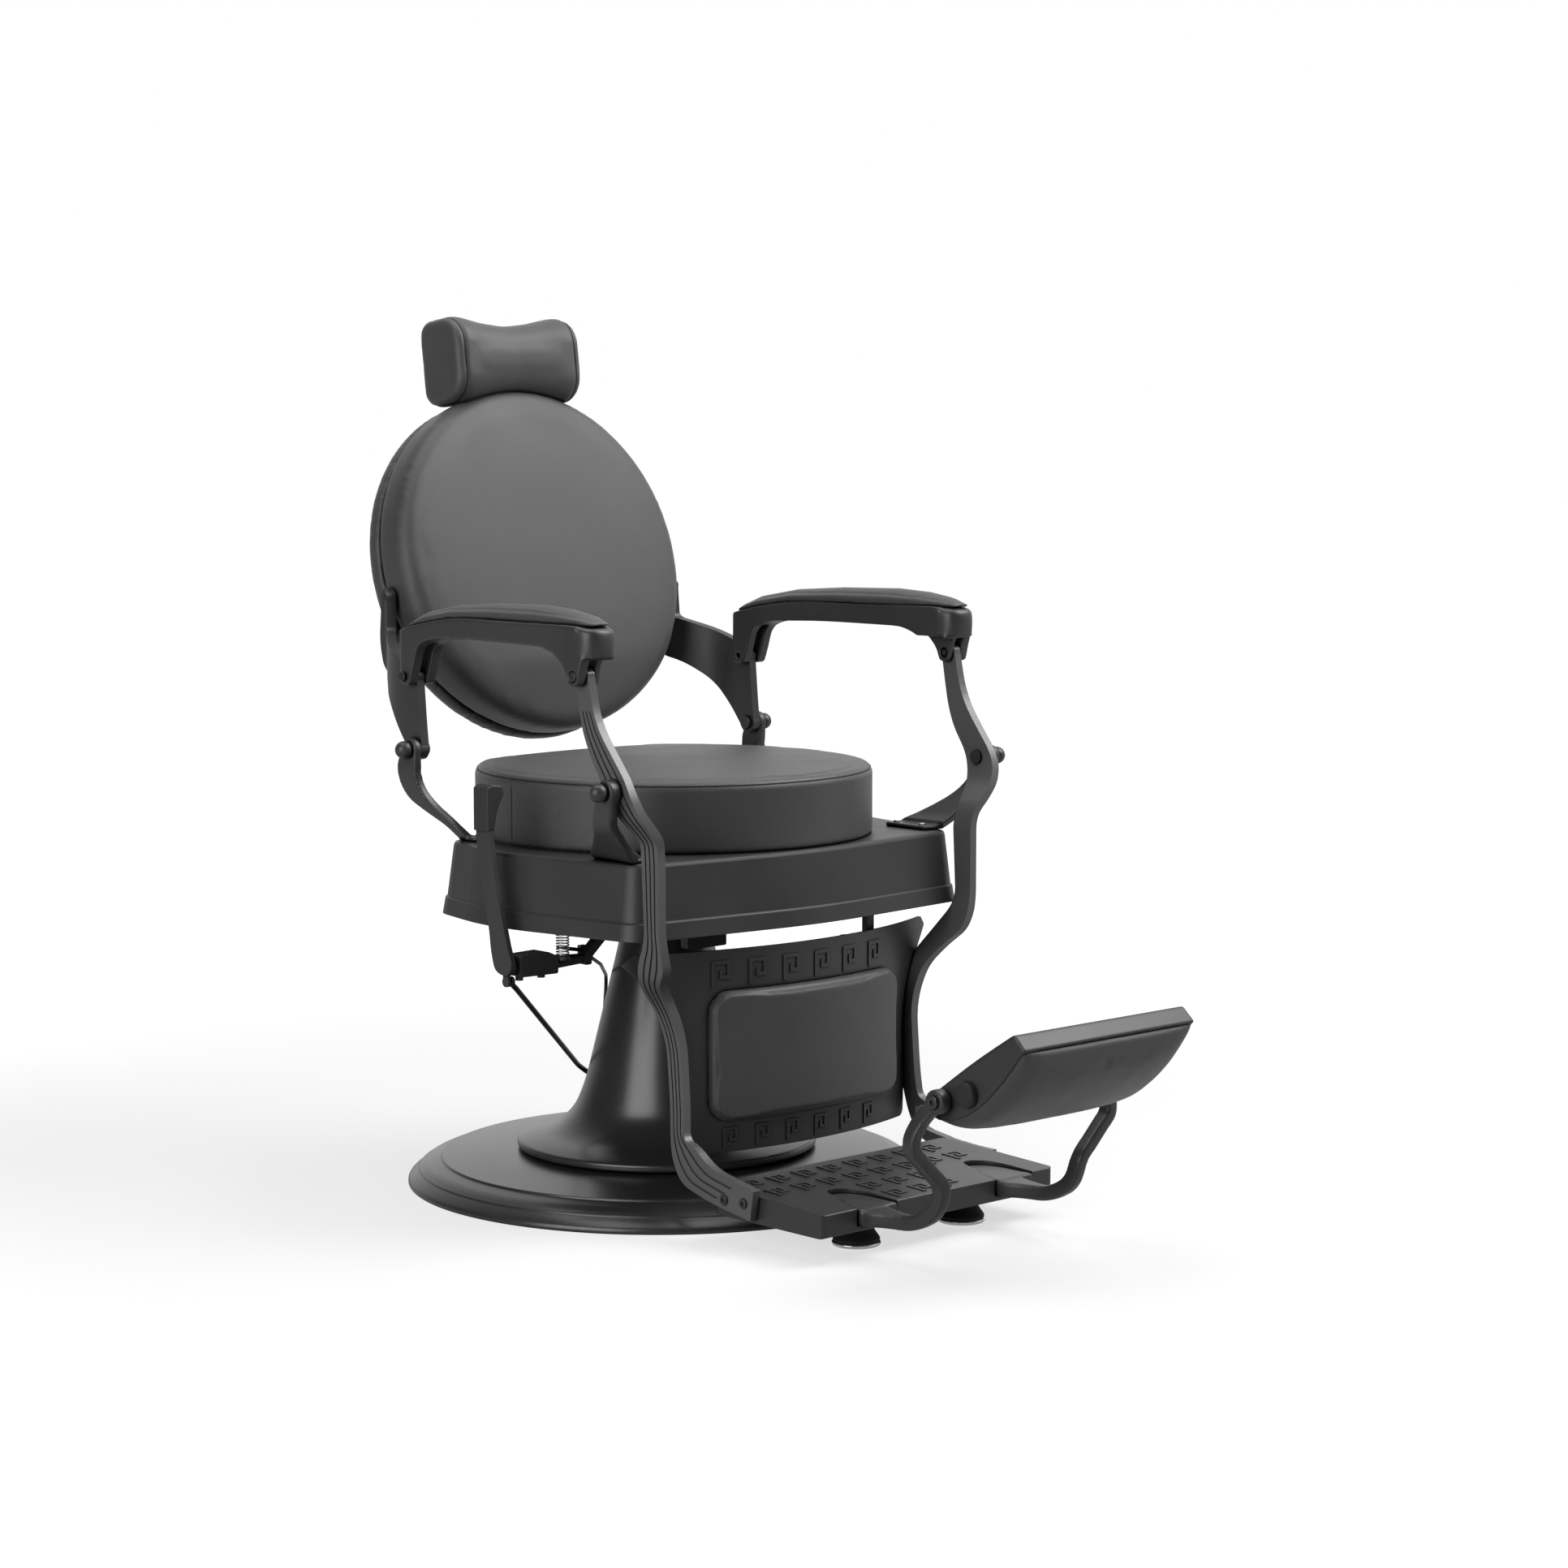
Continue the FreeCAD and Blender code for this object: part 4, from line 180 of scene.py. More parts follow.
class Recipe(Wiring):
    """A finish's node tree on one Principled shader."""

    def __init__(self, name: str) -> None:
        """Start an empty material.

        Args:
            name: Name of the material.
        """
        self.material = bpy.data.materials.new(name)
        super().__init__(self.material)
        self.shader = self.add("ShaderNodeBsdfPrincipled")
        out = self.add("ShaderNodeOutputMaterial")
        self.join(self.shader.outputs["BSDF"], out.inputs["Surface"])
        self.place = self.add("ShaderNodeTexCoord").outputs["Object"]

    def noise(self, scale: float, detail: float = 3.0, rough: float = 0.55,
              stretch: Point = (1.0, 1.0, 1.0)) -> Socket:
        """Noise over the object's own space.

        Args:
            scale: Waves to a metre.
            detail: Finer layers of the noise.
            rough: Weight of the finer layers.
            stretch: Factors along X, Y and Z.

        Returns:
            The factor socket.
        """
        mapping = self.add("ShaderNodeMapping")
        mapping.inputs["Scale"].default_value = stretch
        self.join(self.place, mapping.inputs["Vector"])
        node = self.add("ShaderNodeTexNoise")
        node.inputs["Scale"].default_value = scale
        node.inputs["Detail"].default_value = detail
        node.inputs["Roughness"].default_value = rough
        self.join(mapping.outputs["Vector"], node.inputs["Vector"])
        return node.outputs["Fac"]

    def cells(self, scale: float) -> Socket:
        """Distance to the walls of small irregular cells, as in leather grain.

        Args:
            scale: Cells to a metre.

        Returns:
            The distance socket.
        """
        node = self.add("ShaderNodeTexVoronoi", feature="DISTANCE_TO_EDGE")
        node.inputs["Scale"].default_value = scale
        self.join(self.place, node.inputs["Vector"])
        return node.outputs["Distance"]

    def blend(self, factor: Socket, dark: Colour, light: Colour) -> Socket:
        """Mix two colours.

        Args:
            factor: Share of the light colour.
            dark: Colour at factor 0.
            light: Colour at factor 1.

        Returns:
            The colour socket.
        """
        node = self.add("ShaderNodeMix", data_type="RGBA")
        node.inputs[MIX_DARK].default_value = (*dark, 1.0)
        node.inputs[MIX_LIGHT].default_value = (*light, 1.0)
        self.join(factor, node.inputs[MIX_FACTOR])
        return node.outputs[MIX_COLOUR]

    def relief(self, height: Socket, strength: float, depth: float,
               under: Optional[Socket] = None) -> Socket:
        """Bump from a height.

        Args:
            height: Height socket.
            strength: Strength of the bump.
            depth: Depth in metres at height 1.
            under: Normal that the bump lies on.

        Returns:
            The normal socket.
        """
        node = self.add("ShaderNodeBump")
        node.inputs["Strength"].default_value = strength
        node.inputs["Distance"].default_value = depth
        self.join(height, node.inputs["Height"])
        if under is not None:
            self.join(under, node.inputs["Normal"])
        return node.outputs["Normal"]

    def rounded(self, radius: float) -> Socket:
        """Normal that rounds the edges of a casting or a pressed sheet.

        Args:
            radius: Radius of the rounding in metres.

        Returns:
            The normal socket.
        """
        node = self.add("ShaderNodeBevel", samples=4)
        node.inputs["Radius"].default_value = radius
        return node.outputs["Normal"]

    def open_share(self, reach: float, dark: float) -> Socket:
        """Share of light that reaches a spot past what stands near it, low in grooves and corners; it paints
        shade into a finish.

        Args:
            reach: Distance in metres within which things shade.
            dark: Share in the deepest corner.

        Returns:
            The share, 1 on an open face.
        """
        node = self.add("ShaderNodeAmbientOcclusion", samples=8)
        node.inputs["Distance"].default_value = reach
        return self.span(node.outputs["AO"], dark, 1.0, SHUT_TO_OPEN)

    def shade(self, colour: Socket, share: Socket) -> Socket:
        """Multiply a colour by a share, which paints shade into it.

        Args:
            colour: Colour socket.
            share: Share socket.

        Returns:
            The darker colour's socket.
        """
        node = self.add("ShaderNodeMix", data_type="RGBA", blend_type="MULTIPLY")
        node.inputs[MIX_FACTOR].default_value = 1.0
        self.join(colour, node.inputs[MIX_DARK])
        self.join(share, node.inputs[MIX_LIGHT])
        return node.outputs[MIX_COLOUR]

    def set(self, **values: float) -> None:
        """Set constant sockets of the shader; underscores stand for spaces."""
        for key, value in values.items():
            self.shader.inputs[key.replace("_", " ")].default_value = value

    def feed(self, colour: Optional[Socket] = None, roughness: Optional[Socket] = None,
             normal: Optional[Socket] = None) -> bpy.types.Material:
        """Link the shader's inputs and close the material.

        Args:
            colour: Base colour socket.
            roughness: Roughness socket.
            normal: Normal socket.

        Returns:
            The finished material.
        """
        for socket, name in ((colour, "Base Color"), (roughness, "Roughness"), (normal, "Normal")):
            if socket is not None:
                self.join(socket, self.shader.inputs[name])
        return self.material


@dataclass(frozen=True)
class Finish:
    """A surface's finish: its darker and its lighter tone, and the range of its roughness."""

    name: str
    colour: Colour
    light: Colour
    roughness: Span

    def material(self) -> bpy.types.Material:
        """Write the material, in the way of each kind of finish."""
        raise NotImplementedError


@dataclass(frozen=True)
class Paint(Finish):
    """Sprayed paint on metal: faint orange peel, uneven gloss, rounded edges, and painted shade that darkens
    and dulls its grooves.
    """

    rounding: float = 0.0012
    peel: float = 0.00004
    shine: float = 0.5
    # metres within which grooves and corners get painted shade
    groove: float = 0.0035

    def material(self) -> bpy.types.Material:
        """Write the material.

        Returns:
            The material.
        """
        recipe = Recipe(self.name)
        patches = recipe.noise(scale=7.0, detail=4.0)
        colour = recipe.blend(recipe.span(patches, 0.0, 1.0, PATCHES), self.colour, self.light)
        rough = recipe.span(patches, *self.roughness, PATCHES)
        droplets = recipe.noise(scale=420.0, detail=2.0)
        normal = recipe.relief(droplets, strength=0.35, depth=self.peel, under=recipe.rounded(self.rounding))
        # Painted shade: the colour darkens and the reflection weakens in grooves and corners.
        share = recipe.open_share(reach=self.groove, dark=0.15)
        recipe.join(recipe.span(share, 0.0, self.shine), recipe.shader.inputs["Specular IOR Level"])
        return recipe.feed(recipe.shade(colour, share), rough, normal)


@dataclass(frozen=True)
class Leatherette(Finish):
    """Smooth black leatherette: fine pebble grain, soft patches of gloss, a trace of sheen, and painted
    shade in its seams and corners.
    """

    grain: float = 950.0
    depth: float = 0.00016
    shine: float = 0.5
    sheen: float = 0.1

    def material(self) -> bpy.types.Material:
        """Write the material.

        Returns:
            The material.
        """
        recipe = Recipe(self.name)
        patches = recipe.noise(scale=9.0, detail=5.0)
        tone = recipe.blend(recipe.span(patches, 0.0, 1.0, WIDE_PATCHES), self.colour, self.light)
        rough = recipe.span(patches, *self.roughness, PATCHES)
        hide = recipe.relief(recipe.noise(scale=38.0, detail=4.0), strength=0.12, depth=0.0012)
        pebbles = recipe.span(recipe.cells(self.grain), 0.0, 1.0, PEBBLE_WALLS)
        normal = recipe.relief(pebbles, strength=0.4, depth=self.depth, under=hide)
        # Painted shade: the colour darkens and the reflection weakens in seams and corners.
        share = recipe.open_share(reach=0.006, dark=0.2)
        recipe.set(Sheen_Weight=self.sheen, Sheen_Roughness=0.4)
        recipe.join(recipe.span(share, 0.0, self.shine), recipe.shader.inputs["Specular IOR Level"])
        return recipe.feed(recipe.shade(tone, share), rough, normal)


@dataclass(frozen=True)
class BareMetal(Finish):
    """Uncoated metal with the lines of its grinding or turning."""

    lines: Point = (1.0, 1.0, 40.0)
    rounding: float = 0.0004

    def material(self) -> bpy.types.Material:
        """Write the material.

        Returns:
            The material.
        """
        recipe = Recipe(self.name)
        lines = recipe.noise(scale=60.0, rough=0.6, stretch=self.lines)
        colour = recipe.blend(lines, self.colour, self.light)
        rough = recipe.span(lines, *self.roughness)
        normal = recipe.relief(lines, strength=0.15, depth=0.0001, under=recipe.rounded(self.rounding))
        recipe.set(Metallic=1.0)
        return recipe.feed(colour, rough, normal)


@dataclass(frozen=True)
class Moulded(Finish):
    """Moulded rubber or plastic with a fine spark-eroded texture."""

    texture: float = 700.0
    rounding: float = 0.0008

    def material(self) -> bpy.types.Material:
        """Write the material.

        Returns:
            The material.
        """
        recipe = Recipe(self.name)
        spots = recipe.noise(scale=self.texture, detail=2.0)
        patches = recipe.noise(scale=14.0)
        colour = recipe.blend(patches, self.colour, self.light)
        rough = recipe.span(patches, *self.roughness)
        normal = recipe.relief(spots, strength=0.3, depth=0.00008, under=recipe.rounded(self.rounding))
        recipe.set(Specular_IOR_Level=0.35)
        return recipe.feed(colour, rough, normal)


@dataclass(frozen=True)
class Plywood(Finish):
    """Birch plywood: grain along X and plies through its thickness."""

    stretch: Point = (1.0, 12.0, 60.0)

    def material(self) -> bpy.types.Material:
        """Write the material.

        Returns:
            The material.
        """
        recipe = Recipe(self.name)
        grain = recipe.noise(scale=18.0, detail=6.0, rough=0.6, stretch=self.stretch)
        colour = recipe.blend(grain, self.colour, self.light)
        rough = recipe.span(grain, *self.roughness)
        return recipe.feed(colour, rough, recipe.relief(grain, strength=0.3, depth=0.0003))


PAINT_DARK: Colour = (0.022, 0.022, 0.023)
PAINT_LIGHT: Colour = (0.032, 0.032, 0.033)

FINISHES: dict[Slot, Finish] = {
    Slot.GLOSS_ENAMEL: Paint("gloss enamel", PAINT_DARK, (0.028, 0.028, 0.029), (0.27, 0.30),
                             rounding=0.0015, peel=0.00003, shine=0.62),
    Slot.SATIN_CASTING: Paint("satin casting paint", PAINT_DARK, PAINT_LIGHT, (0.36, 0.44),
                              rounding=0.0007, peel=0.00005, groove=0.006),
    Slot.SHEET_METAL: Paint("satin sheet paint", PAINT_DARK, PAINT_LIGHT, (0.40, 0.48),
                            rounding=0.0016, shine=0.42),
    Slot.LEATHERETTE: Leatherette("black leatherette", (0.040, 0.040, 0.041), (0.052, 0.052, 0.053),
                                  (0.40, 0.50)),
    Slot.CHROME_RING: BareMetal("polished chrome", (0.78, 0.78, 0.79), (0.84, 0.84, 0.85), (0.05, 0.1)),
    Slot.BRIGHT_STEEL: BareMetal("ground steel", (0.5, 0.5, 0.51), (0.62, 0.62, 0.63), (0.22, 0.34)),
    Slot.DARK_STEEL: BareMetal("blackened steel", (0.06, 0.06, 0.062), (0.1, 0.1, 0.102), (0.34, 0.46)),
    Slot.MACHINED_STEEL: BareMetal("turned steel", (0.4, 0.4, 0.41), (0.5, 0.5, 0.51), (0.2, 0.32)),
    Slot.BRONZE: BareMetal("bearing bronze", (0.5, 0.34, 0.16), (0.6, 0.42, 0.22), (0.26, 0.38)),
    Slot.BLACK_RUBBER: Moulded("black rubber", (0.014, 0.014, 0.014), (0.022, 0.022, 0.022), (0.6, 0.75)),
    Slot.PLYWOOD: Plywood("birch plywood", (0.42, 0.3, 0.18), (0.6, 0.46, 0.3), (0.55, 0.75)),
    Slot.GRIP_PLASTIC: Moulded("grip plastic", (0.02, 0.02, 0.02), (0.03, 0.03, 0.03), (0.42, 0.52)),
}


class Paintshop:
    """Holds one material for each slot, a lighter copy of the casting paint for the fluted struts as painted
    light, and a darker welt material for the seams as painted shade.
    """

    def __init__(self) -> None:
        """Write every finish once."""
        self.materials = {slot: finish.material() for slot, finish in FINISHES.items()}
        # Painted light: the front struts get a copy of the casting paint about three times lighter, for the
        # light that their flutes catch.
        self.fluted = Paint("casting paint lightened as painted light", (0.070, 0.070, 0.071), (0.086, 0.086, 0.087),
                            (0.32, 0.40), rounding=0.0007, peel=0.00005, shine=0.7, groove=0.004).material()
        # Painted shade: the welts are a darker, duller copy of the leatherette, for the shade in the seams.
        self.welt_shade = Leatherette("welt darkened as painted shade", (0.012, 0.012, 0.012), (0.02, 0.02, 0.02), (0.5, 0.6),
                                  shine=0.2, sheen=0.0).material()

    def dress(self, node: Piece, slot: Slot) -> None:
        """Give a carried-over CAD node the material of its slot.

        Args:
            node: The node's object.
            slot: Its slot in the record.
        """
        if not node.material_slots:
            node.data.materials.append(self.materials[slot])
        for place in node.material_slots:
            place.material = self.materials[slot]


# Modelling helpers

MERGE = 1e-6            # metres within which a new piece's points are one
CAD_MERGE = 1e-5        # the same for a CAD node's loose triangles
RELAX_FACTOR = 0.5      # how far one smoothing takes a point towards its neighbours
FEWEST_STEPS = 4        # on the shortest run of points
RUN_SMOOTHINGS = 3      # of a run's points
TINY = 1e-9             # metres, so that nothing is divided by a length of 0


def new_object(name: str, mesh: bpy.types.Mesh) -> Piece:
    """Put a mesh into the scene as an object at the origin.

    Args:
        name: Name of the piece.
        mesh: Its mesh, in place.

    Returns:
        The new object.
    """
    piece = bpy.data.objects.new(name, mesh)
    bpy.context.scene.collection.objects.link(piece)
    return piece


def mesh_piece(name: str, work: bmesh.types.BMesh, sharp_degrees: float = 35.0) -> Piece:
    """Turn a finished bmesh into a smooth-shaded object with its sharp edges kept.

    Args:
        name: Name of the piece.
        work: The bmesh, freed here.
        sharp_degrees: Edges that turn more than this stay sharp.

    Returns:
        The new object.
    """
    bmesh.ops.remove_doubles(work, verts=work.verts, dist=MERGE)
    bmesh.ops.recalc_face_normals(work, faces=work.faces)
    mesh = bpy.data.meshes.new(name)
    work.to_mesh(mesh)
    work.free()
    mesh.shade_smooth()
    mesh.set_sharp_from_angle(angle=math.radians(sharp_degrees))
    return new_object(name, mesh)


def merged_copy(name: str, node: str) -> Piece:
    """Copy a CAD node's mesh into a new object and close its loose triangles.

    Args:
        name: Name of the piece.
        node: Name of the CAD node.

    Returns:
        The new object.
    """
    work = bmesh.new()
    work.from_mesh(frame["nodes"][node].data)
    bmesh.ops.remove_doubles(work, verts=work.verts, dist=CAD_MERGE)
    mesh = bpy.data.meshes.new(name)
    work.to_mesh(mesh)
    work.free()
    return new_object(name, mesh)


def evaluated_mesh(piece: Piece) -> bpy.types.Mesh:
    """Mesh of a piece with its modifiers applied."""
    graph = bpy.context.evaluated_depsgraph_get()
    return bpy.data.meshes.new_from_object(piece.evaluated_get(graph))


def bake_modifiers(piece: Piece) -> None:
    """Apply all modifiers of a piece.

    Args:
        piece: The piece, which keeps none of them.
    """
    mesh = evaluated_mesh(piece)
    piece.modifiers.clear()
    old = piece.data
    piece.data = mesh
    bpy.data.meshes.remove(old)


def bvh_of(piece: Piece) -> BVHTree:
    """Search tree over a piece's faces.

    Args:
        piece: The piece.

    Returns:
        The tree, whose faces all point outwards.
    """
    work = bmesh.new()
    work.from_mesh(piece.data)
    bmesh.ops.recalc_face_normals(work, faces=work.faces)
    tree = BVHTree.FromBMesh(work)
    work.free()
    return tree


def even_faces(piece: Piece, voxel: float) -> None:
    """Rebuild a closed piece from even square faces.

    Args:
        piece: The piece.
        voxel: Size of the faces in metres.
    """
    remesh = piece.modifiers.new("even faces", "REMESH")
    remesh.mode = "VOXEL"
    remesh.voxel_size = voxel
    bake_modifiers(piece)


def boxed(place: Vector, low: Point, high: Point) -> bool:
    """Whether a point lies in the box between two corners."""
    return all(least <= value <= most for least, value, most in zip(low, place, high))


def relax(piece: Piece, times: int, box: Optional[tuple[Point, Point]] = None) -> None:
    """Smooth a piece's points.

    Args:
        piece: The piece.
        times: How often.
        box: Low and high corners of the box outside which points stay.
    """
    work = bmesh.new()
    work.from_mesh(piece.data)
    verts = [vert for vert in work.verts if box is None or boxed(vert.co, *box)]
    for _ in range(times):
        bmesh.ops.smooth_vert(work, verts=verts, factor=RELAX_FACTOR, use_axis_x=True, use_axis_y=True,
                              use_axis_z=True)
    work.to_mesh(piece.data)
    work.free()


def runs_of(edges: Iterable[bmesh.types.BMEdge]) -> list[tuple[list[Vector], bool]]:
    """Order loose edges into runs of points.

    Args:
        edges: Edges that form open or closed runs.

    Returns:
        Each run's points, and whether it is closed.
    """
    left = set(edges)
    runs = []

    def loose(vert: bmesh.types.BMVert) -> bool:
        """Whether a point ends a run of the edges that are left."""
        return sum(edge in left for edge in vert.link_edges) == 1

    while left:
        ends = [edge for edge in left if any(loose(vert) for vert in edge.verts)]
        edge = min(ends or left, key=lambda e: e.index)
        vert = next((v for v in edge.verts if loose(v)), edge.verts[0])
        first = vert
        points = [vert.co.copy()]
        while edge is not None:
            left.discard(edge)
            vert = edge.other_vert(vert)
            points.append(vert.co.copy())
            edge = next((e for e in vert.link_edges if e in left), None)
        closed = vert is first
        runs.append((points[:-1] if closed else points, closed))
    return runs


def evenly(points: Sequence[Vector], closed: bool, step: float) -> list[Vector]:
    """Points at even steps along a run, smoothed a little.

    Args:
        points: The run.
        closed: Whether it closes on itself.
        step: Distance between the new points in metres.

    Returns:
        The new points.
    """
    line = list(points) + ([points[0]] if closed else [])
    lengths = [0.0]
    for before, after in zip(line, line[1:]):
        lengths.append(lengths[-1] + (after - before).length)
    count = max(FEWEST_STEPS, round(lengths[-1] / step))
    result = []
    at = 0
    for i in range(count if closed else count + 1):
        want = lengths[-1] * i / count
        while at < len(lengths) - 2 and lengths[at + 1] < want:
            at += 1
        share = (want - lengths[at]) / max(TINY, lengths[at + 1] - lengths[at])
        result.append(line[at].lerp(line[at + 1], min(1.0, max(0.0, share))))
    for _ in range(RUN_SMOOTHINGS):
        size = len(result)
        inner = range(size) if closed else range(1, size - 1)
        moved = {i: (result[i - 1] + result[i] * 2 + result[(i + 1) % size]) / 4 for i in inner}
        result = [moved.get(i, point) for i, point in enumerate(result)]
    return result


def tube(name: str, runs: Sequence[tuple[list[Vector], bool]], radius: float) -> Piece:
    """A thin round welt along runs of points.

    Args:
        name: Name of the piece.
        runs: Points of each run, and whether it is closed.
        radius: Radius of the welt in metres.

    Returns:
        The new mesh object.
    """
    curve = bpy.data.curves.new(name, "CURVE")
    curve.dimensions = "3D"
    curve.bevel_depth = radius
    curve.bevel_resolution = 2
    curve.use_fill_caps = True
    for points, closed in runs:
        spline = curve.splines.new("POLY")
        spline.points.add(len(points) - 1)
        for target, point in zip(spline.points, points):
            target.co = (*point, 1.0)
        spline.use_cyclic_u = closed
    draft = new_object(name + "_draft", curve)
    mesh = evaluated_mesh(draft)
    bpy.data.objects.remove(draft)
    bpy.data.curves.remove(curve)
    mesh.shade_smooth()
    return new_object(name, mesh)


# Upholstery

CLOTH_FRAMES = 14       # that the pressure has to round a pad
FIT_ROUNDS = 4          # of bringing a pad's points to their height over the solid
FIT_FACTOR = 0.3        # how far a point is smoothed after each
TIGHT_FADE = 0.08       # metres over which a pad leaves the solid above the part where it is tight
SEAM_REACH = 3          # widths of a seam within which its groove pulls
WELT_STEP = 0.004       # metres between a welt's points
SHORTEST_RUN = 6        # points, up to which a cut is no seam


@dataclass(frozen=True)
class Seam:
    """A sewn line where a plane cuts a pad: a shallow groove with a thin welt in it."""

    name: str
    point: Point
    normal: Point
    low: Point = (-1.0, -1.0, -1.0)
    high: Point = (1.0, 1.0, 2.0)
    groove: float = 0.0011
    width: float = 0.0028
    welt: float = 0.0008

    def holds(self, place: Vector) -> bool:
        """Whether a point lies in the box to which the seam is limited."""
        return boxed(place, self.low, self.high)

    def off(self, place: Vector) -> float:
        """Distance of a point from the seam's plane."""
        return (place - Vector(self.point)).dot(Vector(self.normal).normalized())


@dataclass(frozen=True)
class Rest:
    """A flat face that a pad lies on and doesn't pass."""

    point: Point
    normal: Point

    def kept(self, place: Vector) -> Vector:
        """Bring a point that has passed the face back to it.

        Args:
            place: The point.

        Returns:
            The point itself, or the nearest one on the face.
        """
        normal = Vector(self.normal).normalized()
        depth = (place - Vector(self.point)).dot(normal)
        return place - normal * depth if depth < 0.0 else place


@dataclass
class Pad:
    """One cushion: its CAD solid remeshed, blown up as cloth, fitted to the solid's form, then sewn.

    Its height over the solid stays between least and cap, and goes to nothing below tight_below.
    """

    name: str
    node: str
    body: str
    voxel: float = 0.0045
    pressure: float = 4.0
    least: float = 0.001
    cap: float = 0.003
    fill: float = 0.8
    smooth: int = 2
    polish: int = 0
    tight_below: float = -1.0
    rests: tuple[Rest, ...] = ()
    seams: tuple[Seam, ...] = ()

    def build(self, shop: Paintshop) -> Piece:
        """Make the pad and its seams.

        Args:
            shop: Holder of the materials.

        Returns:
            The pad.
        """
        piece = merged_copy(self.name, self.node)
        form = bvh_of(piece)
        even_faces(piece, self.voxel)
        self.blow_up(piece)
        relax(piece, self.smooth)
        finer = piece.modifiers.new("finer", "SUBSURF")
        finer.levels = 1
        finer.render_levels = 1
        bake_modifiers(piece)
        self.fit(piece, form)
        relax(piece, self.polish)
        self.lay(piece)
        welts = [self.sew(piece, seam) for seam in self.seams]
        piece.data.shade_smooth()
        piece.data.materials.clear()
        piece.data.materials.append(shop.materials[Slot.LEATHERETTE])
        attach(piece, self.body)
        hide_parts(self.node)
        for welt in welts:
            # The welts take the darkened welt material, the painted shade of the seam.
            welt.data.materials.append(shop.welt_shade)
            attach(welt, self.body)
        log.info("pad %s: %d faces, %d seams", self.name, len(piece.data.polygons), len(welts))
        return piece

    def fit(self, piece: Piece, form: BVHTree) -> None:
        """Bring each point to between the least height and the cap over the solid.

        Args:
            piece: The pad.
            form: The solid's faces.
        """
        work = bmesh.new()
        work.from_mesh(piece.data)
        for _ in range(FIT_ROUNDS):
            work.normal_update()
            for vert in work.verts:
                near, face_normal, _face, distance = form.find_nearest(vert.co)
                height = math.copysign(distance, (vert.co - near).dot(face_normal))
                share = min(1.0, max(0.0, (vert.co.z - self.tight_below) / TIGHT_FADE))
                vert.co += vert.normal * (min(self.cap * share, max(self.least * share, height)) - height)
            bmesh.ops.smooth_vert(work, verts=work.verts, factor=FIT_FACTOR, use_axis_x=True,
                                  use_axis_y=True, use_axis_z=True)
        work.to_mesh(piece.data)
        work.free()

    def lay(self, piece: Piece) -> None:
        """Keep the pad on the faces that it lies on.

        Args:
            piece: The pad.
        """
        for vert in piece.data.vertices:
            for rest in self.rests:
                vert.co = rest.kept(vert.co)

    def blow_up(self, piece: Piece) -> None:
        """Let cloth pressure round the pad.

        Args:
            piece: The pad.
        """
        cloth = piece.modifiers.new("pressure", "CLOTH")
        settings = cloth.settings
        settings.quality = 5
        settings.mass = 0.3
        settings.tension_stiffness = 15.0
        settings.compression_stiffness = 15.0
        settings.shear_stiffness = 5.0
        settings.bending_stiffness = 0.5
        settings.use_pressure = True
        settings.uniform_pressure_force = self.pressure
        settings.effector_weights.gravity = 0.0
        cloth.collision_settings.use_collision = False
        scene = bpy.context.scene
        cloth.point_cache.frame_start = 1
        cloth.point_cache.frame_end = CLOTH_FRAMES
        for number in range(1, CLOTH_FRAMES + 1):
            scene.frame_set(number)
        bake_modifiers(piece)
        scene.frame_set(1)

    def sew(self, piece: Piece, seam: Seam) -> Piece:
        """Press a seam's groove into the pad and lay its welt.

        Args:
            piece: The pad.
            seam: The seam.

        Returns:
            The welt.
        """
        work = bmesh.new()
        work.from_mesh(piece.data)
        work.normal_update()
        for vert in work.verts:
            off = seam.off(vert.co)
            if abs(off) < seam.width * SEAM_REACH and seam.holds(vert.co):
                vert.co -= vert.normal * seam.groove * math.exp(-((off / seam.width) ** 2))
        work.to_mesh(piece.data)
        geometry = list(work.verts) + list(work.edges) + list(work.faces)
        bmesh.ops.bisect_plane(work, geom=geometry, dist=MERGE, plane_co=seam.point, plane_no=seam.normal,
                               clear_inner=True, clear_outer=True)
        work.edges.index_update()
        line = [edge for edge in work.edges if seam.holds((edge.verts[0].co + edge.verts[1].co) / 2)]
        runs = [(evenly(points, closed, WELT_STEP), closed) for points, closed in runs_of(line)
                if len(points) > SHORTEST_RUN]
        work.free()
        return tube(seam.name, runs, seam.welt)


@dataclass
class Casting:
    """A cast or pressed part with its corners rounded as the tool and the paint leave them.

    Points between the corners soft_low and soft_high are smoothed soft times more.
    """

    name: str
    node: str
    body: str
    voxel: float = 0.0015
    rounding: int = 5
    soft_low: Point = (-1.0, 1.0, 0.0)
    soft_high: Point = (1.0, 1.0, 0.0)
    soft: int = 0
    slot: Slot = Slot.SATIN_CASTING

    def build(self, shop: Paintshop) -> Piece:
        """Make the rounded part in place of its solid.

        Args:
            shop: Holder of the materials.

        Returns:
            The part.
        """
        piece = merged_copy(self.name, self.node)
        even_faces(piece, self.voxel)
        relax(piece, self.rounding)
        relax(piece, self.soft, (self.soft_low, self.soft_high))
        piece.data.shade_smooth()
        piece.data.materials.clear()
        piece.data.materials.append(shop.materials[self.slot])
        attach(piece, self.body)
        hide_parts(self.node)
        log.info("casting %s: %d faces", self.name, len(piece.data.polygons))
        return piece


# Sub-assemblies

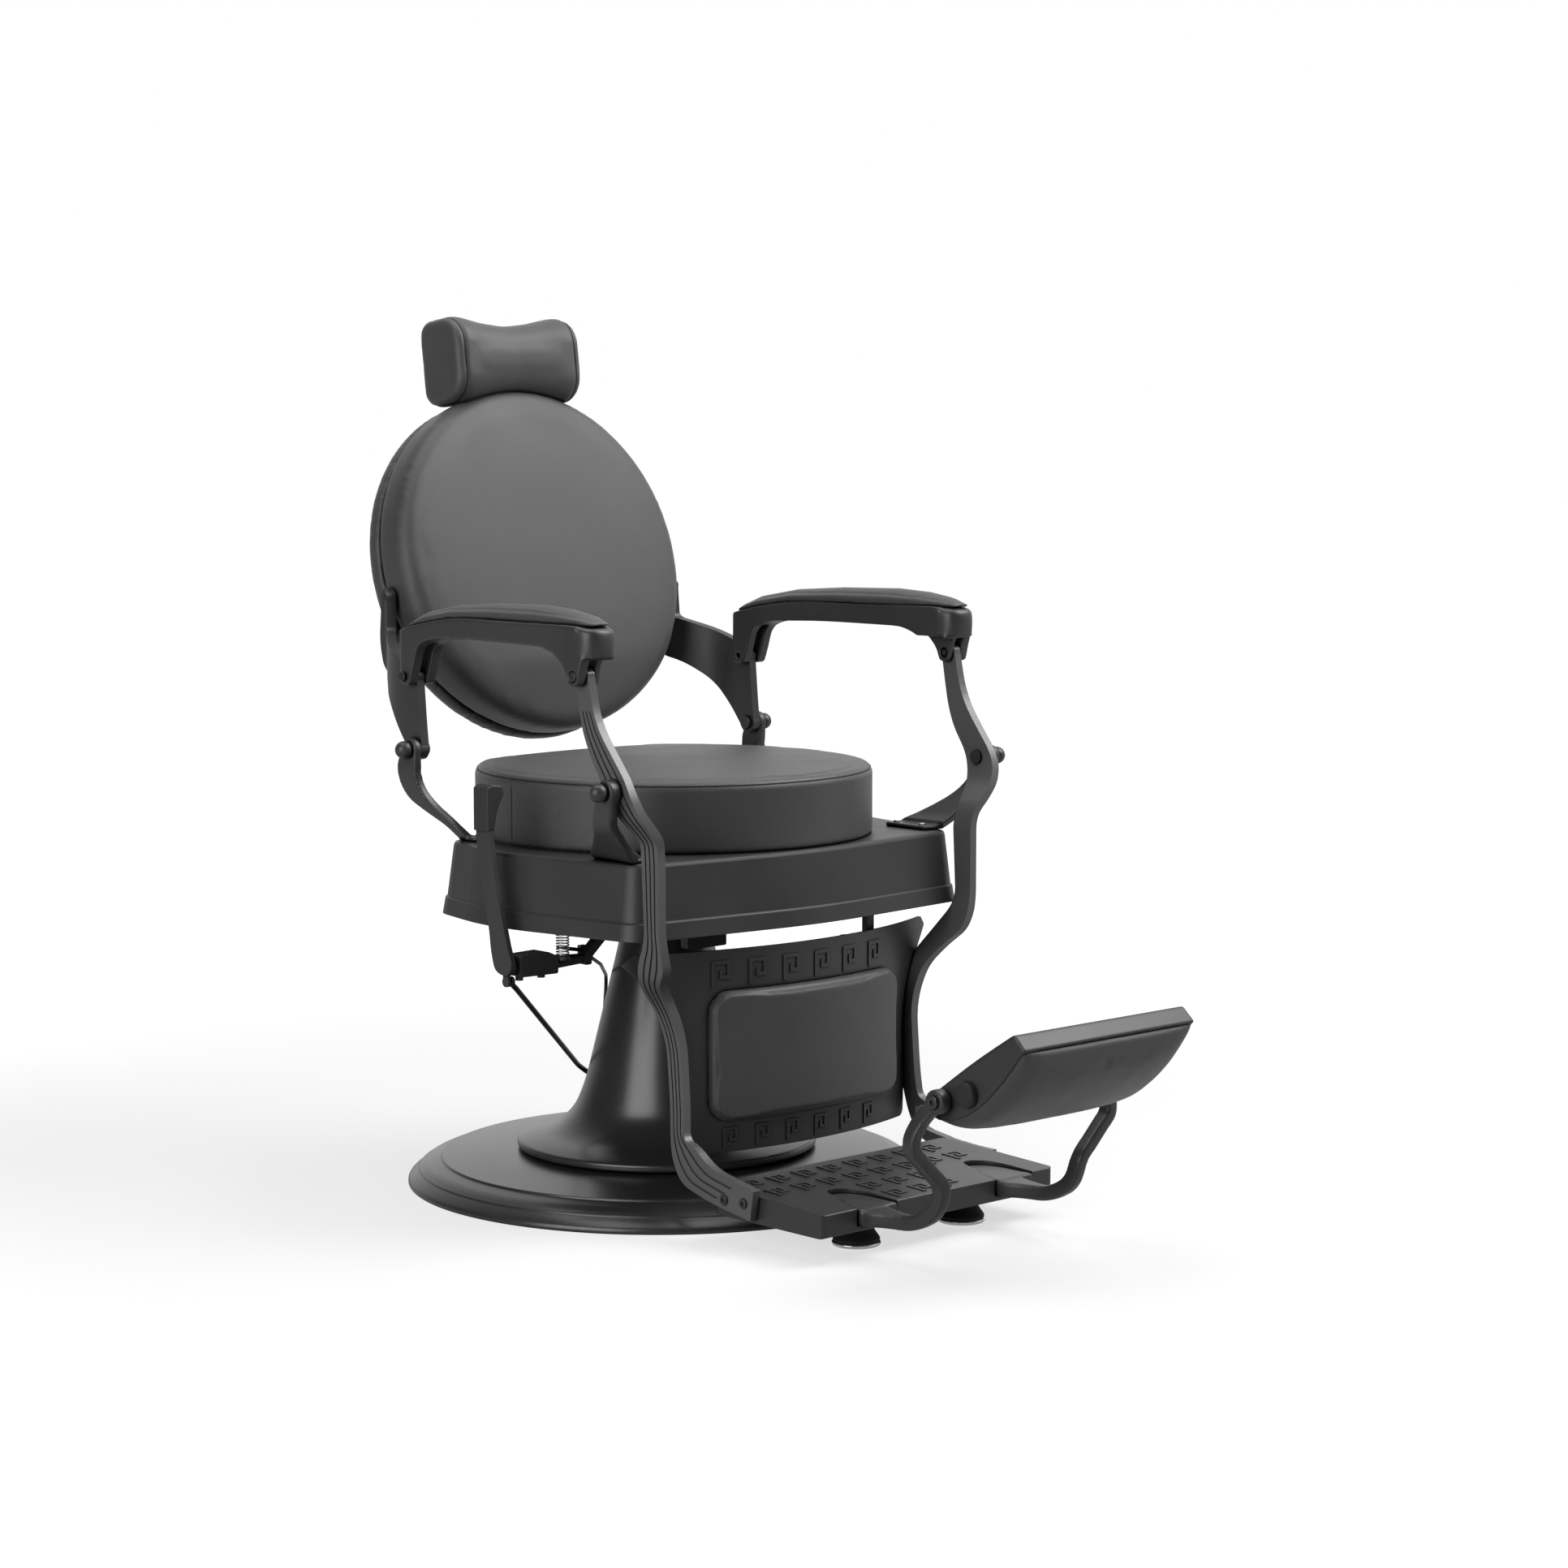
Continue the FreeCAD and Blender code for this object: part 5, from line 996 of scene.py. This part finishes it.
@dataclass
class Assembly:
    """A group of the chair's pieces that is dressed together."""

    shop: Paintshop
    nodes: tuple[str, ...] = ()
    title: str = "group"

    def build(self) -> None:
        """Dress the group's CAD nodes, then make its new pieces."""
        slots = {part["node"]: Slot(part["material_slot"]) for part in frame["record"]["subparts"]}
        for name in self.nodes:
            self.shop.dress(frame["nodes"][name], slots[name])
        made = self.make()
        log.info("%s: %d nodes dressed, new pieces %s", self.title, len(self.nodes), [p.name for p in made])

    def make(self) -> list[Piece]:
        """New pieces of the group; none unless a group makes its own."""
        return []

    def finish(self, piece: Piece, body: str, slot: Slot) -> Piece:
        """Give a new piece the material of a slot, and put it on its body.

        Args:
            piece: The piece.
            body: CAD body that it rides on.
            slot: Slot of its finish.

        Returns:
            The piece.
        """
        piece.data.materials.clear()
        piece.data.materials.append(self.shop.materials[slot])
        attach(piece, body)
        return piece


def screw_head(radius: float, height: float, recess: float, segments: int) -> bmesh.types.BMesh:
    """A round screw head about +Z, standing on Z 0, with its rim rounded and a round socket sunk in it.

    Args:
        radius: Radius of the head.
        height: Height of the head.
        recess: Radius of the socket.
        segments: Straight pieces of its round outline.

    Returns:
        The bmesh.
    """
    rounding = height * 0.4
    depth = height * 0.8
    flat = radius - rounding
    work = bmesh.new()
    made = bmesh.ops.create_cone(work, cap_ends=True, segments=segments, radius1=radius, radius2=radius,
                                 depth=height)
    bmesh.ops.translate(work, verts=made["verts"], vec=(0, 0, height / 2))
    top = max(work.faces, key=lambda f: f.calc_center_median().z)
    bmesh.ops.bevel(work, geom=list(top.edges), offset=rounding, offset_type="OFFSET", segments=3,
                    profile=0.5, affect="EDGES", material=-1)
    top = max(work.faces, key=lambda f: (round(f.calc_center_median().z, 6), f.calc_area()))
    bmesh.ops.inset_region(work, faces=[top], thickness=flat * (1.0 - recess / flat), use_even_offset=True)
    sunk = bmesh.ops.extrude_face_region(work, geom=[top])
    low = [v for v in sunk["geom"] if isinstance(v, bmesh.types.BMVert)]
    bmesh.ops.translate(work, verts=low, vec=(0, 0, -depth))
    bmesh.ops.delete(work, geom=[top], context="FACES_ONLY")
    return work


def set_on_x(work: bmesh.types.BMesh, place: Point, side: Side) -> None:
    """Turn a shape that stands on Z so that it points outwards along X, and move it to its place.

    Args:
        work: The shape.
        place: Where its foot goes.
        side: The sitter's side that it points to.
    """
    turn = Matrix.Rotation(math.radians(90.0 * side.value), 4, "Y")
    bmesh.ops.transform(work, matrix=Matrix.Translation(place) @ turn, verts=work.verts)


@dataclass
class Backrest(Assembly):
    """Round cushion on its shell, between the two back brackets.

    Up to the height seat_reach the cushion stays tight, so that it clears the seat at full recline.
    """

    centre: Point = (0.0, 0.2889, 0.8083)
    lean: float = 15.0
    seam_back: float = 0.016
    welt_front: float = 0.0035
    seat_reach: float = 0.605

    def forward(self) -> Vector:
        """The way the backrest's face looks."""
        lean = math.radians(self.lean)
        return Vector((0.0, -math.cos(lean), math.sin(lean)))

    def make(self) -> list[Piece]:
        """Make the cushion, the covered shell and the welt between them.

        Returns:
            The new pieces.
        """
        front = self.forward()
        seam = Vector(self.centre) - front * self.seam_back
        welt = Seam("back_seam", tuple(seam + front * self.welt_front), tuple(front), welt=0.0011)
        cushion = Pad("back_pad", "back_cushion", "back", voxel=0.0055, least=0.0045, cap=0.006, polish=24,
                      tight_below=self.seat_reach, rests=(Rest(tuple(seam), tuple(front)),), seams=(welt,))
        shell = Pad("back_cover", "back_shell", "back", voxel=0.006, least=0.0035, cap=0.005, polish=8,
                    rests=(Rest(tuple(seam), tuple(-front)),))
        return [cushion.build(self.shop), shell.build(self.shop)]


@dataclass
class SeatPad(Assembly):
    """Round seat cushion with a seam round its top edge and one up its side."""

    centre: Point = (0.0, -0.017, 0.467)
    seam_height: float = 0.5528
    join_angle: float = 176.4
    join_low: Point = (-1.0, -1.0, 0.47)
    join_high: Point = (-0.2, 1.0, 0.551)

    def make(self) -> list[Piece]:
        """Make the cushion with its two seams, and the rounded brackets on the tray.

        Returns:
            The new pieces.
        """
        angle = math.radians(self.join_angle)
        across = (-math.sin(angle), math.cos(angle), 0.0)
        top = Seam("seat_top_seam", (0.0, 0.0, self.seam_height), (0.0, 0.0, 1.0), welt=0.0009)
        join = Seam("seat_side_seam", self.centre, across, self.join_low, self.join_high, groove=0.0009,
                    welt=0.0006)
        pad = Pad("seat_pad", "seat_cushion", "seat", voxel=0.0055, least=0.0015, cap=0.003,
                  rests=(Rest(self.centre, (0.0, 0.0, 1.0)),), seams=(top, join))
        brackets = [Casting(f"{end}_brackets_round", f"{end}_seat_brackets", "seat", voxel=0.0017)
                    for end in ("front", "rear")]
        return [pad.build(self.shop)] + [bracket.build(self.shop) for bracket in brackets]


@dataclass
class Headrest(Assembly):
    """Saddle-shaped pillow with a flat cap sewn on each end, whose middle is given in Y and Z."""

    end: float = 0.0955
    end_middle: Span = (0.341, 1.0865)

    def make(self) -> list[Piece]:
        """Make the pillow and its end seams.

        Returns:
            The new pieces.
        """
        seams = tuple(Seam(f"head_seam_{side.word}", (side.value * self.end, *self.end_middle),
                           (1.0, 0.0, 0.0), groove=0.0016, welt=0.0010) for side in Side)
        pad = Pad("head_pad", "headrest_cushion", "headrest", least=0.003, cap=0.005, polish=24,
                  seams=seams)
        return [pad.build(self.shop)]


@dataclass
class Armrest(Assembly):
    """Casting with its pad and the screws through its ears."""

    side: Side = Side.RIGHT
    head: float = 0.0062
    rise: float = 0.0022
    socket: float = 0.0028
    front_ear: Point = (0.3362, -0.217, 0.699)
    rear_ear: Point = (0.3148, 0.155, 0.678)
    nose_low: Point = (-1.0, -0.3, 0.722)
    nose_high: Point = (1.0, -0.224, 0.8)

    def make(self) -> list[Piece]:
        """Make the pad, the casting with its soft nose, and the screw heads on the ears.

        Returns:
            The new pieces.
        """
        word = self.side.word
        body = f"armrest_{word}"
        pad = Pad(f"arm_pad_{word}", f"armrest_pad_{word}", body, voxel=0.0032, least=0.0008, cap=0.002)
        casting = Casting(f"arm_casting_{word}", f"armrest_casting_{word}", body, soft_low=self.nose_low,
                          soft_high=self.nose_high, soft=110)
        pieces = [pad.build(self.shop), casting.build(self.shop)]
        for name, (x, y, z), carrier in (("front", self.front_ear, body), ("rear", self.rear_ear, "back")):
            work = screw_head(self.head, self.rise, self.socket, segments=36)
            set_on_x(work, (x * self.side.value, y, z), self.side)
            piece = mesh_piece(f"arm_screw_{name}_{word}", work)
            pieces.append(self.finish(piece, carrier, Slot.DARK_STEEL))
        return pieces


@dataclass
class LegFrame(Assembly):
    """Struts, panel with its calf cushion, footplate and glides."""

    def make(self) -> list[Piece]:
        """Make the calf cushion and the rounded footrest arms, and dress the fluted struts in a lighter copy
        of the casting paint, as painted light.

        Returns:
            The new pieces.
        """
        pad = Pad("calf_pad", "calf_cushion", "leg_frame", voxel=0.004, least=0.0005, cap=0.0025)
        pieces = [pad.build(self.shop)]
        for side in Side:
            # Painted light: the struts take the lighter copy of the casting paint.
            frame["nodes"][f"front_strut_{side.word}"].material_slots[0].material = self.shop.fluted
            arm = Casting(f"footrest_arm_round_{side.word}", f"footrest_arm_{side.word}", "leg_frame",
                          voxel=0.0016, rounding=12)
            pieces.append(arm.build(self.shop))
        return pieces


@dataclass
class Footrest(Assembly):
    """Folding pad in its metal tray: two slanted faces of the tray lie on it, between the tray's ends."""

    half: float = 0.1462
    slants: tuple[Rest, ...] = (Rest((0.0, -0.6652, 0.2324), (0.0, -0.5823, -0.8129)),
                                Rest((0.0, -0.7566, 0.2940), (0.0, -0.5298, -0.8481)))

    def make(self) -> list[Piece]:
        """Make the cushion of the footrest and its tray with rounded corners.

        Returns:
            The new pieces.
        """
        ends = (Rest((self.half, 0.0, 0.0), (-1.0, 0.0, 0.0)), Rest((-self.half, 0.0, 0.0), (1.0, 0.0, 0.0)))
        pad = Pad("footrest_pad", "footrest_cushion", "footrest", least=0.001, cap=0.006, polish=3,
                  rests=self.slants + ends)
        tray = Casting("footrest_shell", "footrest_tray", "footrest", voxel=0.0018, rounding=6,
                       slot=Slot.SHEET_METAL)
        return [pad.build(self.shop), tray.build(self.shop)]


@dataclass
class LeverGear(Assembly):
    """Hand lever, its hub and rods, and the coil spring that holds it up."""

    coil: Point = (-0.260, -0.100, 0.336)
    coil_top: float = 0.380
    ends: float = 0.002

    def make(self) -> list[Piece]:
        """Make the spring, a smooth copy of its CAD node between the seat and the lever's hub.

        Returns:
            The new pieces.
        """
        spring = merged_copy("lever_coil", "lever_spring")
        spring.data.shade_smooth()
        spring.data.materials.clear()
        spring.data.materials.append(self.shop.materials[Slot.BRIGHT_STEEL])
        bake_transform(spring)
        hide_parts("lever_spring")
        return [spring]


@dataclass
class Studio:
    """Camera, floor, backdrop and lamps, with the camera's lens measured in points of a square picture."""

    place: Point = (-3.042503849559104, -3.5002793258816376, 1.0165932970456573)
    yaw: float = -0.7532171258899851
    pitch: float = 0.10442796790596875
    focal: float = 4332.902459807151
    principal: tuple[float, float] = (982.6168779280279, 963.0767919075529)
    frame_size: float = 1932.0
    sensor: float = 36.0
    floor_half: float = 30.0
    floor_drop: float = 0.0004
    far: float = 100.0
    ambient: float = 0.08
    bright_side: Point = (0.95, 0.3, 0.1)
    wall_turn: Span = (-0.2, 0.85)
    wall_level: Span = (0.06, 1.0)
    floor_mirror: float = 0.4
    floor_glow: Span = (0.66, 1.0)
    floor_fade: Span = (0.8, 2.6)
    floor_grey: float = 0.3

    def camera(self) -> None:
        """Set up the camera at the photograph's angle."""
        back = Vector((math.sin(self.yaw) * math.cos(self.pitch), -math.cos(self.yaw) * math.cos(self.pitch),
                       math.sin(self.pitch)))
        data = bpy.data.cameras.new("camera")
        data.sensor_width = self.sensor
        data.lens = self.focal * data.sensor_width / self.frame_size
        data.shift_x = (self.frame_size / 2 - self.principal[0]) / self.frame_size
        data.shift_y = (self.principal[1] - self.frame_size / 2) / self.frame_size
        data.clip_end = self.far
        camera = bpy.data.objects.new("camera", data)
        aim = (-back).to_track_quat("-Z", "Y")
        camera.matrix_world = Matrix.Translation(self.place) @ aim.to_matrix().to_4x4()
        bpy.context.scene.collection.objects.link(camera)
        bpy.context.scene.camera = camera

    def world(self) -> None:
        """White to the eye and through glass, bright on one side in reflections, soft grey as a light."""
        world = bpy.data.worlds.new("studio")
        wiring = Wiring(world)
        path = wiring.add("ShaderNodeLightPath").outputs
        seen = wiring.pair("MAXIMUM", path["Is Camera Ray"], path["Is Transmission Ray"])
        facing = wiring.add("ShaderNodeVectorMath", operation="DOT_PRODUCT")
        facing.inputs[1].default_value = self.bright_side
        wiring.join(wiring.add("ShaderNodeTexCoord").outputs["Generated"], facing.inputs[0])
        wall = wiring.span(facing.outputs["Value"], *self.wall_level, self.wall_turn, "SMOOTHSTEP")
        mirrored = wiring.add("ShaderNodeMix")
        mirrored.inputs[MIX_LOW].default_value = self.ambient
        wiring.join(path["Is Glossy Ray"], mirrored.inputs[MIX_FACTOR])
        wiring.join(wall, mirrored.inputs[MIX_HIGH])
        shader = wiring.add("ShaderNodeBackground")
        shader.inputs["Color"].default_value = WHITE
        wiring.join(wiring.pair("MAXIMUM", mirrored.outputs[MIX_VALUE], seen), shader.inputs["Strength"])
        wiring.join(shader.outputs[0], wiring.add("ShaderNodeOutputWorld").inputs["Surface"])
        bpy.context.scene.world = world

    def floor(self) -> None:
        """Pale floor that keeps a soft shadow and fades to white."""
        work = bmesh.new()
        bmesh.ops.create_grid(work, x_segments=1, y_segments=1, size=self.floor_half)
        bmesh.ops.translate(work, verts=work.verts, vec=(0, 0, -self.floor_drop))
        mesh = bpy.data.meshes.new("floor")
        work.to_mesh(mesh)
        work.free()
        floor = new_object("floor", mesh)
        material = bpy.data.materials.new("pale floor")
        wiring = Wiring(material)
        path = wiring.add("ShaderNodeLightPath").outputs
        mirrored = wiring.add("ShaderNodeMath", operation="MULTIPLY")
        mirrored.inputs[1].default_value = self.floor_mirror
        wiring.join(path["Is Glossy Ray"], mirrored.inputs[0])
        seen = wiring.pair("MAXIMUM", path["Is Camera Ray"], mirrored.outputs[0])
        reach = wiring.add("ShaderNodeVectorMath", operation="LENGTH")
        wiring.join(wiring.add("ShaderNodeTexCoord").outputs["Object"], reach.inputs[0])
        fade = wiring.span(reach.outputs["Value"], *self.floor_glow, self.floor_fade, "SMOOTHSTEP")
        glow = wiring.add("ShaderNodeEmission")
        glow.inputs["Color"].default_value = WHITE
        wiring.join(wiring.pair("MULTIPLY", seen, fade), glow.inputs["Strength"])
        matte = wiring.add("ShaderNodeBsdfDiffuse")
        matte.inputs["Color"].default_value = (*[self.floor_grey] * 3, 1.0)
        total = wiring.add("ShaderNodeAddShader")
        wiring.join(glow.outputs[0], total.inputs[0])
        wiring.join(matte.outputs[0], total.inputs[1])
        wiring.join(total.outputs[0], wiring.add("ShaderNodeOutputMaterial").inputs["Surface"])
        floor.data.materials.append(material)

    def lamp(self, name: str, place: Point, target: Point, size: float, power: float,
             matte_share: float = 1.0) -> None:
        """Add one soft square lamp.

        Args:
            name: Name of the lamp.
            place: Where it hangs.
            target: What it points at.
            size: Edge length of its face.
            power: Watts.
            matte_share: Share of its light that matte surfaces show.
        """
        data = bpy.data.lights.new(name, "AREA")
        data.shape = "SQUARE"
        data.size = size
        data.energy = power
        data.diffuse_factor = matte_share
        lamp = bpy.data.objects.new(name, data)
        aim = (Vector(target) - Vector(place)).to_track_quat("-Z", "Y")
        lamp.matrix_world = Matrix.Translation(place) @ aim.to_matrix().to_4x4()
        bpy.context.scene.collection.objects.link(lamp)

    def build(self) -> None:
        """Set up the whole studio."""
        scene = bpy.context.scene
        scene.view_settings.view_transform = "Standard"
        self.camera()
        self.world()
        self.floor()
        self.lamp("key", (1.9, -1.7, 3.3), target=(0.0, 0.0, 0.7), size=2.4, power=142.0)
        self.lamp("overhead", (-0.3, 0.2, 3.2), target=(0.0, 0.0, 0.6), size=2.0, power=38.0)
        self.lamp("side", (-3.4, -0.7, 1.5), target=(0.0, 0.0, 0.4), size=2.4, power=80.0, matte_share=0.35)
        log.info("studio ready")


def group(kind: type[Assembly], shop: Paintshop, title: str, bodies: Sequence[str],
          **extra: object) -> Assembly:
    """Make an assembly that dresses all nodes of some bodies.

    Args:
        kind: Class of the assembly.
        shop: Holder of the materials.
        title: Name for the log.
        bodies: Bodies whose nodes it dresses.
        extra: Other fields of the class.

    Returns:
        The assembly.
    """
    members = frame["record"]["behaviour"]["bodies"]
    nodes = tuple(node for body in bodies for node in members[body])
    return kind(shop=shop, nodes=nodes, title=title, **extra)


def main() -> None:
    """Dress the chair, group by group, and set up the studio."""
    logging.basicConfig(level=logging.INFO, format="%(name)s: %(message)s")
    Studio().build()
    shop = Paintshop()
    groups = [
        group(Assembly, shop, "base and column", ("base", "column")),
        group(SeatPad, shop, "seat", ("seat",)),
        group(LeverGear, shop, "lever gear", ("pump", "lock", "lever")),
        group(Backrest, shop, "backrest", ("back",)),
        group(Headrest, shop, "headrest", ("headrest",)),
        group(Armrest, shop, "right armrest", ("armrest_right",), side=Side.RIGHT),
        group(Armrest, shop, "left armrest", ("armrest_left",), side=Side.LEFT),
        group(LegFrame, shop, "leg frame", ("leg_frame",)),
        group(Footrest, shop, "footrest", ("footrest",)),
    ]
    for assembly in groups:
        assembly.build()


if __name__ == "__main__":
    main()
